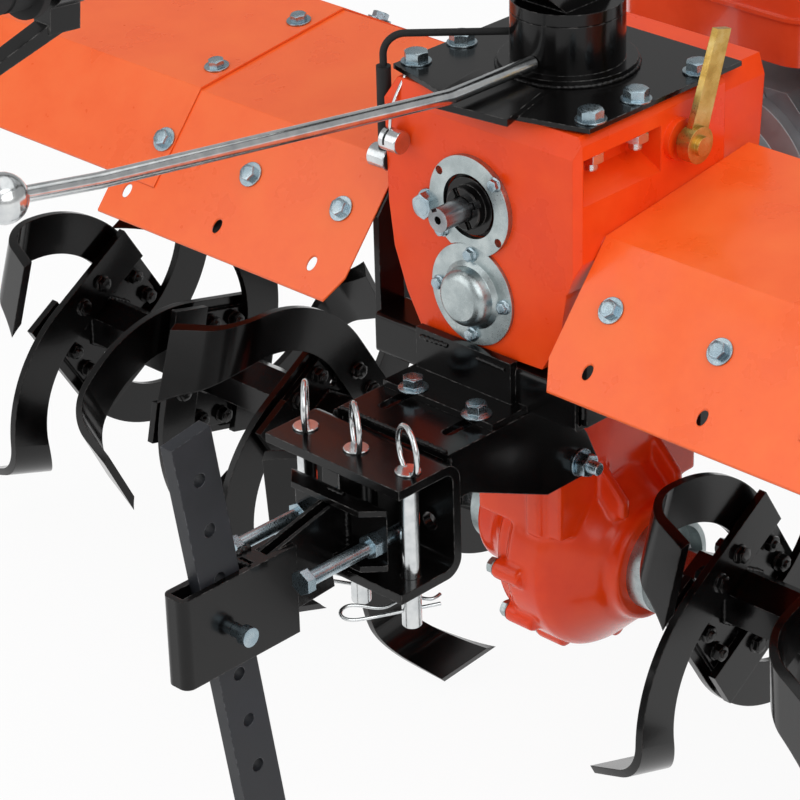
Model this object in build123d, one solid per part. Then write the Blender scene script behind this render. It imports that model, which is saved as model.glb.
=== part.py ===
from build123d import *
from math import asin, atan2, cos, degrees, hypot, radians, sin, sqrt
import os

# A walk-behind power tiller that drives two gangs of sickle tines through an upright gearbox.
# Millimetres. X is to the right seen from behind, Y is forward and Z is up.
# Everything is drawn round the tine axle, at Y = 0. What is written has its origin on the ground,
# below the middle of the whole machine. Parked, the machine stands on its drag stake and front stand.

# Driving sizes of the tine rotor
tine_radius = 184.0
tine_floor_gap = 1.0
axle_z = tine_radius + tine_floor_gap
axle_across_flats = 38.0
hub_across_flats = 46.0
hub_wall = 3.6
hub_gap = 0.4
flange_count = 4
flange_first_x = 166.0
flange_pitch = 150.0
flange_half_width = 58.0
flange_corner = 24.0
flange_thickness = 6.0
flange_hole_radius = 4.0
flange_hole_offset = 23.5
blade_count = 4
blade_width = 40.0
blade_thickness = 7.0
blade_hub_gap = 1.0
blade_root_reach = 66.0
blade_straight = 38.0
blade_curve = 120.0
blade_skew = 40.0
blade_bend_radius = 34.0
blade_bend_angle = 72.0
blade_tail = 34.0
blade_first_angle = 77.0
blade_step = 22.5
blade_steps = {-1: (-1, -2, 0, -2), 1: (-2, -1, -2, 0)}
blade_turned = (0, 0, 1, 1)
hub_start_x = 124.0
hub_end_reach = 26.0

# Driving sizes of the gearbox
case_rear_y = -136.0
case_front_y = 96.0
case_top_z = 618.0
case_bottom_z = 409.0
case_left_x = -94.0
case_right_x = 104.0
case_edge = 17.0
ear_x = 109.0
ear_slope = 6.0
pocket_x = 84.0
pocket_top_z = 600.0
pocket_floor_z = 562.0
pocket_rear_y = -129.0
pocket_front_y = -38.0
lever_y = -19.0
lever_z = 584.0
lever_boss_radius = 17.0
pto_z = 535.0
cap_z = 458.0
cap_radius = 43.0
cap_rim = 3.0
cap_dome_radius = 25.0
cap_dome_height = 16.0
pto_plate_radius = 42.0
pto_plate_thickness = 5.0
pto_bore_radius = 27.0
pto_shaft_radius = 10.0
pto_shaft_length = 38.0
pto_shoulder_radius = 14.0
pto_running_gap = 0.5
pto_key_width = 6.0
pto_key_depth = 3.0
pto_key_length = 17.0
pto_key_turn = 27.0
leg_rim_left_x = -24.0
leg_rim_mid_x = 12.0
leg_split_x = 28.0
leg_rim_radius = 88.0
leg_radius = 96.0
neck_half_width = 46.0
boss_radius = 54.0
boss_end_x = 80.0
ring_radius = 42.0
ring_reach = 17.0
journal_radius = 24.0
journal_gap = 0.1
fit_gap = 0.3

# Driving sizes of the hitch
hitch_top_z = 373.0
cross_bar_left_x = -107.0
cross_bar_right_x = 111.0
cross_bar_depth = 40.0
hitch_half_width = 61.0
hitch_bolt_x = 34.6
hitch_bolt_y = -173.0
hitch_slot_length = 40.0
hitch_slot_width = 11.0
hitch_tie_y = -78.0
hitch_tie_z = 304.0
hitch_tie_radius = 16.0
flap_rear_y = -182.0
saddle_left_x = -55.0
saddle_right_x = 48.0
plate_thickness = 6.0
clevis_half_width = 73.0
clevis_rear_y = -301.0
clevis_depth = 68.0
clevis_height = 100.0
clevis_wall = 8.0
clevis_hole_x = 47.0
clevis_hole_radius = 7.5
pin_pitch = 56.0
pin_radius = 8.0
pin_gap = 0.4
pin_y = -273.0
pin_reach = 24.0
pin_collar_radius = 11.0
pin_collar = 3.0
pin_ring_radius = 13.5
pin_ring_wire = 2.3
yoke_half_width = 52.0
yoke_gap = 4.0
yoke_plate = 5.0
yoke_low_z = 292.0
yoke_height = 54.0
yoke_flange = 22.0
yoke_chamfer = 16.0
yoke_front_chamfer = 7.0
sleeve_radius = 15.5
web_front_y = -287.5
set_bolt_x = 39.0
set_bolt_z = 312.0
set_bolt_radius = 6.0
set_bolt_tip_y = -252.0
set_bolt_length = 116.0
set_bolt_head = 8.0
nut_height = 10.0
nut_across_flats = 18.0
arm_half_width = 7.2
arm_wall = 3.2
arm_low_z = 264.0
arm_high_z = 344.0
arm_end_drop = 20.0
stake_width = 40.0
stake_thickness = 12.5
stake_lean = 9.0
stake_y = -421.0
stake_top_z = 455.0
stake_hole_pitch = 46.0
stake_holes_up = 3
stake_holes_down = 4
stake_pin_radius = 5.5
stake_pin_z = 281.0
stake_hole_radius = stake_pin_radius + 0.2
strap_wall = 5.5
strap_height = 78.0
strap_rear_gap = 26.0
strap_front_gap = 8.0

# Driving sizes of the sheet metal
sheet = 2.0
fender_inner_x = 110.0
fender_main_x = 396.0
fender_outer_x = 640.0
fender_seam_x = 346.0
fender_lip_y = -186.0
fender_lip_z = 432.0
fender_ridge_y = -104.0
fender_ridge_z = 530.0
fender_crest_y = 70.0
fender_crest_z = 552.0
fender_front_y = 200.0
fender_front_z = 480.0
fender_corner = 12.0
fender_bolt_x = 149.0
fender_bolt_pitch = 112.5
fender_hole_radius = 4.5
fender_hole_y = -170.0
bracket_x = 107.0
bracket_reach = 6.0

# Driving sizes of the engine and what carries it
crank_z = 446.0
engine_base_z = 338.0
engine_rear_y = 196.0
bell_radius = 88.0
crankcase_length = 150.0
crankcase_half_width = 92.0
cylinder_lean = 65.0
cylinder_length = 118.0
fin_count = 9
fin_pitch = 11.0
fin_thickness = 3.0
fin_half_width = 52.0
blower_radius = 112.0
blower_depth = 66.0
recoil_radius = 74.0
recoil_depth = 18.0
recoil_slots = 10
tank_length = 200.0
tank_width = 220.0
tank_height = 84.0
tank_cap_radius = 27.0
muffler_size = 92.0
exhaust_rise = 148.0
rail_x = 50.0
rail_width = 40.0
rail_height = 46.0
rail_wall = 4.0
rail_rear_y = 40.0
rail_front_y = 520.0
rail_pad_y = 60.0
bumper_radius = 13.0
bumper_rise = 130.0
bumper_reach = 62.0
stand_pivot_y = 455.0
stand_tube_radius = 10.0
stand_pin_radius = 6.0
stand_half_width = 92.0
stand_foot = 8.0

# Driving sizes of the controls and handlebars
seat_thickness = 4.0
seat_gap = 2.0
seat_left_x = -97.0
seat_right_x = 109.0
seat_rear_y = -122.0
seat_point = 28.0
seat_tongue = 17.0
seat_tongue_thickness = 5.0
seat_front_y = 60.0
seat_y = -30.0
seat_x = 6.0
turret_radius = 46.0
turret_height = 46.0
shift_rod_radius = 6.0
shift_rod_x = 10.0
shift_knob_radius = 18.0
cable_radius = 3.0
column_width = 52.0
tilt_y = -150.0
tilt_z = 800.0
tilt_bolt_radius = 8.0
tilt_eye_radius = 26.0
tilt_eye = 12.0
bar_radius = 14.0
bar_middle_y = -640.0
bar_middle_drop = 26.0
brace_share = 0.376
brace_radius = 11.0
grip_radius = 17.0
grip_y = -910.0
grip_z = 985.0
grip_x = 270.0
grip_length = 125.0
lever_drop = 46.0
lever_length = 170.0


def block(x0, x1, y0, y1, z0, z1):
    """A box between two corners."""
    return Pos((x0 + x1) / 2, (y0 + y1) / 2, (z0 + z1) / 2) * Box(x1 - x0, y1 - y0, z1 - z0)


def rod_x(radius, x0, x1, y, z):
    """A round bar along X."""
    return Pos((x0 + x1) / 2, y, z) * Rot(0, 90, 0) * Cylinder(radius, x1 - x0)


def rod_y(radius, y0, y1, x, z):
    """A round bar along Y."""
    return Pos(x, (y0 + y1) / 2, z) * Rot(90, 0, 0) * Cylinder(radius, y1 - y0)


def rod_z(radius, z0, z1, x, y):
    """A round bar along Z."""
    return Pos(x, y, (z0 + z1) / 2) * Cylinder(radius, z1 - z0)


def prism_x(points, x0, x1):
    """A side outline of (y, z) points, drawn out along X."""
    face = make_face(Polyline(*[(x0, y, z) for y, z in points], close=True))
    return extrude(face, amount=x1 - x0, dir=(1, 0, 0))


def prism_y(points, y0, y1):
    """A rear outline of (x, z) points, drawn out along Y."""
    face = make_face(Polyline(*[(x, y0, z) for x, z in points], close=True))
    return extrude(face, amount=y1 - y0, dir=(0, 1, 0))


def prism_z(points, z0, z1):
    """A plan outline of (x, y) points, drawn out along Z."""
    face = make_face(Polyline(*[(x, y, z0) for x, y in points], close=True))
    return extrude(face, amount=z1 - z0, dir=(0, 0, 1))


def hex_x(across_flats, x0, x1, y, z):
    """A hexagon bar along X with a corner at the top."""
    corner = across_flats / sqrt(3)
    outline = [(y + corner * sin(radians(a)), z + corner * cos(radians(a))) for a in range(0, 360, 60)]
    return prism_x(outline, x0, x1)


def bent_tube(points, radius, bends, wall=0.0):
    """A tube along straight runs joined by arcs."""
    path = FilletPolyline(*points, radius=bends) if len(points) > 2 else Line(*points)
    start = Plane(origin=path @ 0, z_dir=path % 0)
    section = start * Circle(radius)
    if wall:
        section -= start * Circle(radius - wall)
    return sweep(section, path=path)


def mirror_x(shape):
    """The same piece on the other side."""
    return mirror(shape, about=Plane.YZ)


# The tine rotor

def blade_offset():
    """How far a tine's straight root lies to one side of the axle."""
    return hub_across_flats / sqrt(3) + blade_hub_gap + blade_width / 2


def tine_blade():
    """One sickle tine along +Y, its root on the plane X = 0 and its end bent towards +X."""
    half, thick, turn = blade_width / 2, blade_thickness, blade_bend_radius
    outer, inner = blade_curve + half, blade_curve - half
    centre_y, centre_z = blade_straight, blade_curve - blade_offset()
    reach = hypot(centre_y, centre_z)
    swing = atan2(centre_z, centre_y) + asin((tine_radius**2 - reach**2 - outer**2) / (2 * outer * reach))
    tip_y, tip_z = centre_y + outer * sin(swing), centre_z - outer * cos(swing)
    end = swing + radians(34)

    def rim(radius, angle):
        return (0, centre_y + radius * sin(angle), centre_z - radius * cos(angle))

    outline = [
        Line((0, -blade_root_reach, centre_z - outer), rim(outer, 0)),
        ThreePointArc(rim(outer, 0), rim(outer, end / 2), rim(outer, end)),
        Line(rim(outer, end), rim(inner, end)),
        ThreePointArc(rim(inner, end), rim(inner, end / 2), rim(inner, 0)),
        Line(rim(inner, 0), (0, -blade_root_reach, centre_z - inner)),
        Line((0, -blade_root_reach, centre_z - inner), (0, -blade_root_reach, centre_z - outer)),
    ]
    flat = extrude(make_face(outline), amount=2 * tine_radius, dir=(1, 0, 0))
    skew, bend = radians(blade_skew), radians(blade_bend_angle)
    tip = tip_y * cos(skew) + tip_z * sin(skew)
    start = tip - (turn + thick) * sin(bend) - blade_tail * cos(bend)
    base = -2 * tine_radius
    along = (blade_tail * sin(bend), blade_tail * cos(bend))
    near = (thick + turn - turn * cos(bend), start + turn * sin(bend))
    far = (thick + turn - (turn + thick) * cos(bend), start + (turn + thick) * sin(bend))
    half_bend = bend / 2
    near_mid = (thick + turn - turn * cos(half_bend), start + turn * sin(half_bend))
    far_mid = (thick + turn - (turn + thick) * cos(half_bend), start + (turn + thick) * sin(half_bend))
    near_end, far_end = (near[0] + along[0], near[1] + along[1]), (far[0] + along[0], far[1] + along[1])
    side = [
        Line((0, base), (thick, base)),
        Line((thick, base), (thick, start)),
        ThreePointArc((thick, start), near_mid, near),
        Line(near, near_end),
        Line(near_end, far_end),
        Line(far_end, far),
        ThreePointArc(far, far_mid, (0, start)),
        Line((0, start), (0, base)),
    ]
    across = Plane(origin=(0, 0, 0), x_dir=(1, 0, 0), z_dir=(0, -sin(skew), cos(skew)))
    return flat & extrude(across * make_face(side), amount=3 * tine_radius, both=True)


def tine_set(side, index):
    """A flange on the hexagon hub with its four tines, the bolted set that turns together."""
    x = side * (flange_first_x + index * flange_pitch)
    phase = blade_first_angle + blade_steps[side][index] * blade_step
    plate = extrude(Plane.YZ * RectangleRounded(2 * flange_half_width, 2 * flange_half_width,
                                                flange_corner),
                    amount=flange_thickness / 2, both=True)
    for a in (-1, 1):
        for b in (-1, 1):
            plate -= rod_x(flange_hole_radius, -20, 20, a * flange_hole_offset, b * flange_hole_offset)
    plate = Rot(phase, 0, 0) * plate
    plate -= hex_x(hub_across_flats + hub_gap, -20, 20, 0, 0)
    for k in range(blade_count):
        inward = (k + blade_turned[index]) % 2 == 0
        blade = Pos(-flange_thickness / 2 - blade_thickness, 0, 0) * tine_blade()
        if (side > 0) == inward:
            blade = mirror_x(blade)
        plate += Rot(phase + k * 360 / blade_count, 0, 0) * blade
    return Pos(x, 0, axle_z) * plate


def hub_tube(side):
    """The hexagon tube that carries the flanges of one side."""
    x0 = hub_start_x
    x1 = flange_first_x + (flange_count - 1) * flange_pitch + hub_end_reach
    tube = hex_x(hub_across_flats, x0, x1, 0, axle_z)
    tube -= hex_x(hub_across_flats - 2 * hub_wall, x0 - 1, x1 + 1, 0, axle_z)
    return tube if side > 0 else mirror_x(tube)


def tine_axle():
    """The hexagon output shaft, through both hubs."""
    reach = flange_first_x + flange_pitch
    journal = boss_end_x + ring_reach
    return hex_x(axle_across_flats, -reach, reach, 0, axle_z) + rod_x(journal_radius, -journal, journal,
                                                                      0, axle_z)


# The gearbox

def upper_case():
    """The upper gearbox casting, with its tapered foot, ear, side pocket and lever boss."""
    z0, z1, x0, x1 = case_bottom_z, case_top_z, case_left_x, case_right_x
    outline = [
        (x0 + 36, z0), (x1 - 32, z0 + 5), (x1 - 13, z0 + 37), (x1 - 7, z0 + 74), (x1, z1 - case_edge),
        (x1 - 6, z1), (x0 + 8, z1), (x0, z1 - case_edge), (x0 + 2, z0 + 103), (x0 + 7,
                                                                               z0 + 65), (x0 + 20,
                                                                                          z0 + 29),
    ]
    body = prism_y(outline, case_rear_y, case_front_y)
    ear_plan = [(x1 - 40, case_rear_y), (x1, case_rear_y), (ear_x, case_rear_y + ear_slope),
                (ear_x, 40), (x1 - 40, 60)]
    ear_side = [(x1 - 40, z1 - 150), (x1 - 5, z1 - 130), (ear_x, z1 - 104), (ear_x, z1 - 6),
                (ear_x - 6, z1), (x1 - 40, z1)]
    body += prism_z(ear_plan, z1 - 150, z1) & prism_y(ear_side, case_rear_y, 60)
    pocket = [(pocket_x, pocket_top_z), (ear_x + 20, pocket_top_z), (ear_x + 20, pocket_floor_z),
              (ear_x, pocket_floor_z), (pocket_x, pocket_floor_z + 14)]
    body -= prism_y(pocket, pocket_rear_y, pocket_front_y)
    slope = [(case_rear_y - 1, z1 - case_edge), (case_rear_y, z1 - case_edge), (case_rear_y + 8, z1 + 1),
             (case_rear_y - 1, z1 + 1)]
    body -= prism_x(slope, x0 - 10, ear_x + 10)
    body += rod_x(lever_boss_radius, x1 - 10, ear_x + 6, lever_y, lever_z)
    for x in (x0 + 22, x1 - 24):
        body += rod_y(13, case_front_y - 30, case_front_y, x, z0 + 40)
    body -= rod_y(pto_bore_radius, case_rear_y - 1, case_rear_y + 16, 0, pto_z)
    return body - rod_y(pto_shoulder_radius + journal_gap, case_rear_y, case_rear_y + 40.3, 0, pto_z)


def leg_shape():
    """The whole lower gear case, before it is split into its two halves."""
    flank = boss_radius + 6
    profile = make_face(Polyline(
        (-boss_end_x, 0, 0), (-boss_end_x, 0, boss_radius - 4), (-boss_end_x + 18, 0, boss_radius),
        (leg_rim_left_x - 20, 0, flank), (leg_rim_left_x, 0, leg_rim_radius - 3), (leg_rim_left_x + 3,
                                                                                   0, leg_rim_radius),
        (leg_rim_mid_x, 0, leg_radius), (leg_split_x, 0, leg_radius - 1), (leg_split_x + 8, 0,
                                                                           leg_radius - 8),
        (leg_split_x + 24, 0, flank + 4), (boss_end_x - 16, 0, boss_radius + 2), (boss_end_x - 3, 0,
                                                                                  boss_radius),
        (boss_end_x, 0, boss_radius - 3), (boss_end_x, 0, 0), close=True))
    leg = Pos(0, 0, axle_z) * revolve(profile, axis=Axis.X)
    low, high = axle_z + 40, case_bottom_z
    flanks = [(-leg_rim_radius + 4, low), (leg_rim_radius - 4, low), (case_front_y - 8, high),
              (case_rear_y + 44, high)]
    leg += prism_x(flanks, -neck_half_width, neck_half_width)
    rim = [(-leg_rim_radius, low), (leg_rim_radius, low), (case_front_y, high), (case_rear_y + 36, high)]
    leg += prism_x(rim, leg_rim_mid_x, leg_split_x)
    leg += rod_x(hitch_tie_radius, -hitch_half_width + plate_thickness, hitch_half_width - plate_thickness,
                 hitch_tie_y, hitch_tie_z)
    for side in (-1, 1):
        leg += block(min(side * 30, side * rail_x), max(side * 30, side * rail_x), rail_pad_y - 16,
                     rail_pad_y + 16,
                     engine_base_z - rail_height, engine_base_z)
    web = [(0, axle_z + boss_radius - 4), (60, axle_z + 66), (60, high), (0, high)]
    for y in (-34, 34):
        leg += Pos(0, y, 0) * prism_y([(x + 12, z) for x, z in web[:2]] + [(neck_half_width, high),
                                                                           (12, high)], -4, 4)
    for turn in (200, 232, 264, 296, 328):
        y, z = (leg_radius + 1) * cos(radians(turn)), (leg_radius + 1) * sin(radians(turn))
        leg += rod_x(10, leg_rim_left_x + 8, leg_split_x + 20, y, axle_z + z)
    return leg


def drive_leg():
    """The right half of the lower gear case, with the bearing boss and ribs."""
    leg = leg_shape() & block(leg_split_x, 200, -300, 300, 0, 600)
    return leg - rod_x(journal_radius + journal_gap, -boss_end_x - 1, boss_end_x + 1, 0, axle_z)


def leg_cover():
    """The left half of the lower gear case, bolted to the right one."""
    leg = leg_shape() & block(-200, leg_split_x, -300, 300, 0, 600)
    return leg - rod_x(journal_radius + journal_gap, -boss_end_x - 1, boss_end_x + 1, 0, axle_z)


def output_ring(side):
    """The plated seal ring round the output shaft."""
    x0, x1 = boss_end_x, boss_end_x + ring_reach
    ring = rod_x(ring_radius, x0, x1, 0, axle_z) - rod_x(ring_radius - 5, x0 + 4, x1 + 1, 0, axle_z)
    ring -= rod_x(journal_radius + 1, x0 - 1, x1 + 1, 0, axle_z)
    return ring if side > 0 else mirror_x(ring)


def bearing_cap():
    """The pressed cover with a dome below the power take-off."""
    dome, rise = cap_dome_radius, cap_dome_height
    profile = make_face([
        Line((0, 0), (cap_radius, 0)), Line((cap_radius, 0), (cap_radius, cap_rim)),
        Line((cap_radius, cap_rim), (dome + 4, cap_rim)), Line((dome + 4, cap_rim), (dome, cap_rim + 3)),
        Line((dome, cap_rim + 3), (dome - 1, cap_rim + rise - 7)),
        ThreePointArc((dome - 1, cap_rim + rise - 7), (dome - 3.5, cap_rim + rise - 2.5),
                      (dome - 8, cap_rim + rise)),
        Line((dome - 8, cap_rim + rise), (0, cap_rim + rise)), Line((0, cap_rim + rise), (0, 0))])
    return Pos(0, case_rear_y, cap_z) * mirror(revolve(profile, axis=Axis.Y), about=Plane.XZ)


def pto_plate():
    """The ring plate round the power take-off, cut away beside the bearing cap."""
    y0, y1 = case_rear_y - pto_plate_thickness, case_rear_y
    plate = rod_y(pto_plate_radius, y0, y1, 0, pto_z) - rod_y(pto_bore_radius, y0 - 1, y1 + 1, 0, pto_z)
    plate -= rod_y(cap_radius + 1, y0 - 1, y1 + 1, 0, cap_z)
    for x, z in ((-31, 31 * 0.72), (31, -31 * 0.72)):
        plate -= rod_y(3.6, y0 - 1, y1 + 1, x, pto_z + z)
    return plate


def pto_nut():
    """The slotted ring nut in the power take-off bore, clear of the shaft."""
    y0 = case_rear_y + 2
    bore = pto_shoulder_radius + pto_running_gap
    nut = rod_y(pto_bore_radius - fit_gap, y0, y0 + 12, 0, pto_z)
    nut -= rod_y(bore, y0 - 1, y0 + 13, 0, pto_z)
    for turn in range(0, 360, 90):
        nut -= Pos(0, y0, pto_z) * Rot(0, turn, 0) * block(-3, 3, -1, 4, bore + 4, bore + 16)
    return nut


def pto_shaft():
    """The power take-off shaft with its shoulder, keyway and end thread hole."""
    y1 = case_rear_y - 2
    y0 = y1 - pto_shaft_length
    shaft = rod_y(pto_shaft_radius, y0, y1 + 1, 0, pto_z)
    shaft += rod_y(pto_shoulder_radius, y1, case_rear_y + 40, 0, pto_z)
    shaft -= rod_y(3.4, y0 - 1, y0 + 22, 0, pto_z)
    top = pto_z + pto_shaft_radius
    half = pto_key_width / 2
    key = block(-half, half, y0 - 1, y0 + pto_key_length, top - pto_key_depth, top + 1)
    return shaft - Pos(0, 0, pto_z) * Rot(0, -pto_key_turn, 0) * Pos(0, 0, -pto_z) * key


def selector_lever():
    """The hub and lever of the side selector."""
    x0 = ear_x + 6
    hub = rod_x(8, x0, x0 + 22, lever_y, lever_z) + rod_x(15, x0 + 6, x0 + 18, lever_y, lever_z)
    arm = prism_x([(lever_y - 11, lever_z), (lever_y + 11, lever_z), (lever_y + 40, lever_z + 84),
                   (lever_y + 24, lever_z + 88)], x0 + 8, x0 + 14)
    return hub + arm


def shift_rod():
    """The long rod of the gear change, over the seat plate to its knob behind."""
    z0 = case_top_z + seat_gap + seat_thickness + seat_tongue_thickness + shift_rod_radius + 3
    x = shift_rod_x
    start = seat_y - turret_radius - fit_gap
    rod = bent_tube([(x, start, z0), (x, -170, z0 + 1), (x, -522, 687), (x, -600, 701)],
                    shift_rod_radius, 60)
    return rod + Pos(x, -606, 702) * Sphere(shift_knob_radius)


def clutch_cable():
    """The sheathed cable from its clamp on the case to the handlebar seat."""
    x, y = case_left_x - 6, case_rear_y + 6
    z = case_top_z + seat_gap + seat_thickness + turret_height / 2 + 4
    far = hypot(x - seat_x, y - seat_y)
    near = (turret_radius + fit_gap) / far
    end = (seat_x + (x - seat_x) * near, seat_y + (y - seat_y) * near, z)
    line = bent_tube([(x, y, 545), (x, y, z), end], cable_radius, 18)
    line += rod_z(cable_radius + 3, 553, 624, x, y)
    return line + rod_x(9, x - 12, case_left_x + 1, y, 545)


# The hitch and drag stake

def cross_bar():
    """The square tube under the gearbox with its welded flap and saddle plate."""
    y0, y1 = case_rear_y - 5, case_rear_y - 5 + cross_bar_depth
    z0, z1 = hitch_top_z, case_bottom_z
    bar = block(cross_bar_left_x, cross_bar_right_x, y0, y1, z0, z1)
    bar = fillet(bar.edges().filter_by(Axis.X), radius=4)
    for x in (cross_bar_left_x, cross_bar_right_x):
        bar -= block(x - 10, x + 10, y0 + 4, y1 - 4, z0 + 4, z1 - 4)
    t = plate_thickness
    flap = block(saddle_left_x - 4, saddle_right_x + 12, flap_rear_y, y0 + 6, z0, z0 + t)
    saddle = block(saddle_left_x, saddle_right_x, y0 - t, y0 + 2, z0, z1 + 6)
    return bar + flap + saddle


def hitch_plate():
    """The folded top plate with its two slots, and the two side plates."""
    front, rear = case_rear_y + 34, clevis_rear_y + clevis_depth
    z1 = hitch_top_z
    z0 = z1 - plate_thickness
    w = hitch_half_width
    body = block(-w, w, rear, front, z0, z1)
    for x in (-hitch_bolt_x, hitch_bolt_x):
        slot = Pos(x, hitch_bolt_y - hitch_slot_length / 2 + 8, z0) * Rot(0, 0, 90) * SlotOverall(
            hitch_slot_length + hitch_slot_width, hitch_slot_width)
        body -= extrude(slot, amount=2 * plate_thickness, both=True)
    y, z = hitch_tie_y, hitch_tie_z
    outline = [(rear, z1), (front, z1), (y + 8, z + 24), (y + 20, z - 2), (y + 4, z - 14),
               (y - 40, z - 14),
               (rear + 24, z + 26), (rear, z + 26)]
    side = prism_x(outline, w - plate_thickness, w)
    side -= rod_x(6.2, w - 20, w + 1, y, z)
    return body + side + mirror_x(side)


def clevis():
    """The channel at the back of the hitch, open to the rear, with its pin holes."""
    y0, y1 = clevis_rear_y, clevis_rear_y + clevis_depth
    z0, z1 = hitch_top_z - clevis_height, hitch_top_z
    w, t = clevis_half_width, clevis_wall
    body = block(-w, w, y0, y1, z0, z1)
    body = fillet(body.edges().filter_by(Axis.X).group_by(Axis.Y)[-1], radius=16)
    inner = block(-w - 1, w + 1, y0 - 1, y1 - t, z0 + t, z1 - t)
    inner = fillet(inner.edges().filter_by(Axis.X).group_by(Axis.Y)[-1], radius=9)
    body -= inner
    for x in (-pin_pitch, 0, pin_pitch):
        body -= rod_z(pin_radius + pin_gap, z0 - 1, z1 + 1, x, pin_y)
    for x in (-clevis_hole_x, clevis_hole_x):
        body -= rod_y(clevis_hole_radius, y1 - t - 1, y1 + 1, x, z0 + 40)
    return body


def hitch_pin(x, turn):
    """A pin that hangs in the channel by its collar, with a ring to pull it by."""
    z0, z1 = hitch_top_z - clevis_height - pin_reach, hitch_top_z
    pin = rod_z(pin_radius, z0, z1, x, pin_y) + rod_z(pin_collar_radius, z1, z1 + pin_collar, x, pin_y)
    ring = Pos(x, pin_y, z1 + pin_collar + pin_ring_radius) * Rot(0, 0, turn) * Rot(90, 0, 0)
    pin += ring * Torus(pin_ring_radius, pin_ring_wire)
    return pin - rod_y(2.2, pin_y - 20, pin_y + 20, x, z0 + 9)


def yoke():
    """The folded plate between the clevis arms, with the sleeve on the middle pin."""
    w, t, z0 = yoke_half_width, yoke_plate, yoke_low_z
    z1, y1 = z0 + yoke_height, web_front_y
    y0 = y1 - yoke_flange
    body = block(-w, w, y0, y1, z0, z1)
    body = fillet(body.edges().filter_by(Axis.X).group_by(Axis.Y)[-1], radius=9)
    hollow = block(-w - 1, w + 1, y0 - 1, y1 - t, z0 + t, z1 - t)
    body -= fillet(hollow.edges().filter_by(Axis.X).group_by(Axis.Y)[-1], radius=4)
    for s in (-1, 1):
        c = yoke_chamfer
        body -= prism_z([(s * (w + 1), y0 - 1), (s * (w - c), y0 - 1), (s * (w + 1), y0 + c)], z0 - 1,
                        z1 + 1)
        c = yoke_front_chamfer
        body -= prism_z([(s * (w + 1), y1 + 1), (s * (w - c), y1 + 1), (s * (w + 1), y1 - c)], z0 - 1,
                        z1 + 1)
    low = hitch_top_z - clevis_height + clevis_wall + yoke_gap
    high = hitch_top_z - clevis_wall - yoke_gap
    body += rod_z(sleeve_radius, low, high, 0, pin_y)
    body -= rod_z(pin_radius + pin_gap, low - 1, high + 1, 0, pin_y)
    for x in (-set_bolt_x, set_bolt_x):
        body -= rod_y(set_bolt_radius + fit_gap, y0 - 1, y1 + 1, x, set_bolt_z)
    return body


def drag_arm():
    """The swinging yoke and the folded arm, with the strap that holds the stake."""
    front, w, t = web_front_y - yoke_plate + 1, arm_half_width, arm_wall
    inner = stake_thickness / 2 + fit_gap
    half, rear = stake_width / 2, stake_y
    strap_front, strap_back = rear + half + strap_front_gap, rear - half - strap_rear_gap
    seam = strap_front + 14
    step = clevis_rear_y - 8
    bar = [(front, arm_high_z), (seam, arm_high_z - arm_end_drop), (seam, arm_low_z),
           (step, arm_low_z + 4),
           (step - 4, yoke_low_z + 1), (front, yoke_low_z + 1)]
    arm = prism_x(bar, -w, w)
    arm -= prism_x([(front - 6, arm_high_z + 9), (seam - 1, arm_high_z - arm_end_drop + 1),
                    (seam - 1, arm_low_z + 12), (front - 6, yoke_low_z + 14)], -w + t, w - t)
    z0 = stake_pin_z - strap_height / 2 + 6
    z1 = z0 + strap_height
    wall = strap_wall
    strap = block(-inner - wall, inner + wall, strap_back - wall, seam + 26, z0, z1)
    strap = fillet(strap.edges().filter_by(Axis.Z).group_by(Axis.Y)[0], radius=8)
    strap -= block(-inner, inner, strap_back, strap_front, z0 - 1, z1 + 1)
    strap -= prism_y([(-inner, z0 - 1), (inner, z0 - 1), (inner, z1 + 1), (-inner, z1 + 1)], seam,
                     seam + 30)
    strap -= rod_x(stake_pin_radius + 0.2, -60, 60, stake_y, stake_pin_z)
    return yoke() + arm + strap


def drag_stake():
    """The flat bar with its row of holes, leaning a little in its strap, its foot cut level."""
    up = (stake_top_z - stake_pin_z) / cos(radians(stake_lean))
    down = (stake_pin_z + stake_width) / cos(radians(stake_lean))
    t, w = stake_thickness / 2, stake_width / 2
    bar = block(-t, t, -w, w, -down, up)
    for k in range(-stake_holes_down, stake_holes_up + 1):
        bar -= rod_x(stake_hole_radius, -20, 20, 0, k * stake_hole_pitch)
    bar = Pos(0, stake_y, stake_pin_z) * Rot(stake_lean, 0, 0) * bar
    return bar - block(-40, 40, stake_y - 200, stake_y + 200, -100, 0)


def stake_pin():
    """The headed pin through the strap and the stake."""
    side = stake_thickness / 2 + fit_gap + strap_wall
    pin = rod_x(stake_pin_radius, -side - 10, side + 16, stake_y, stake_pin_z)
    return pin + rod_x(stake_pin_radius + 2.5, side + 10, side + 18, stake_y, stake_pin_z)


def set_bolts():
    """The two long bolts with their nuts that limit how far the arm swings."""
    bolts = None
    y1 = set_bolt_tip_y
    y0 = y1 - set_bolt_length
    corner = nut_across_flats / sqrt(3)
    outline = [(corner * sin(radians(a)), corner * cos(radians(a))) for a in range(0, 360, 60)]
    nut_y = web_front_y - yoke_plate - nut_height
    for x in (-set_bolt_x, set_bolt_x):
        one = rod_y(set_bolt_radius, y0, y1, x, set_bolt_z)
        one += prism_y([(x + a, set_bolt_z + b) for a, b in outline], y0 - set_bolt_head, y0)
        one += prism_y([(x + a, set_bolt_z + b) for a, b in outline], nut_y, nut_y + nut_height)
        bolts = one if bolts is None else bolts + one
    return bolts


# Sheet metal

def fender_line(lift):
    """The fender's side line, raised by lift."""
    return [(fender_lip_y, fender_lip_z + lift), (fender_ridge_y, fender_ridge_z + lift),
            (fender_crest_y, fender_crest_z + lift), (fender_front_y, fender_front_z + lift)]


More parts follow.
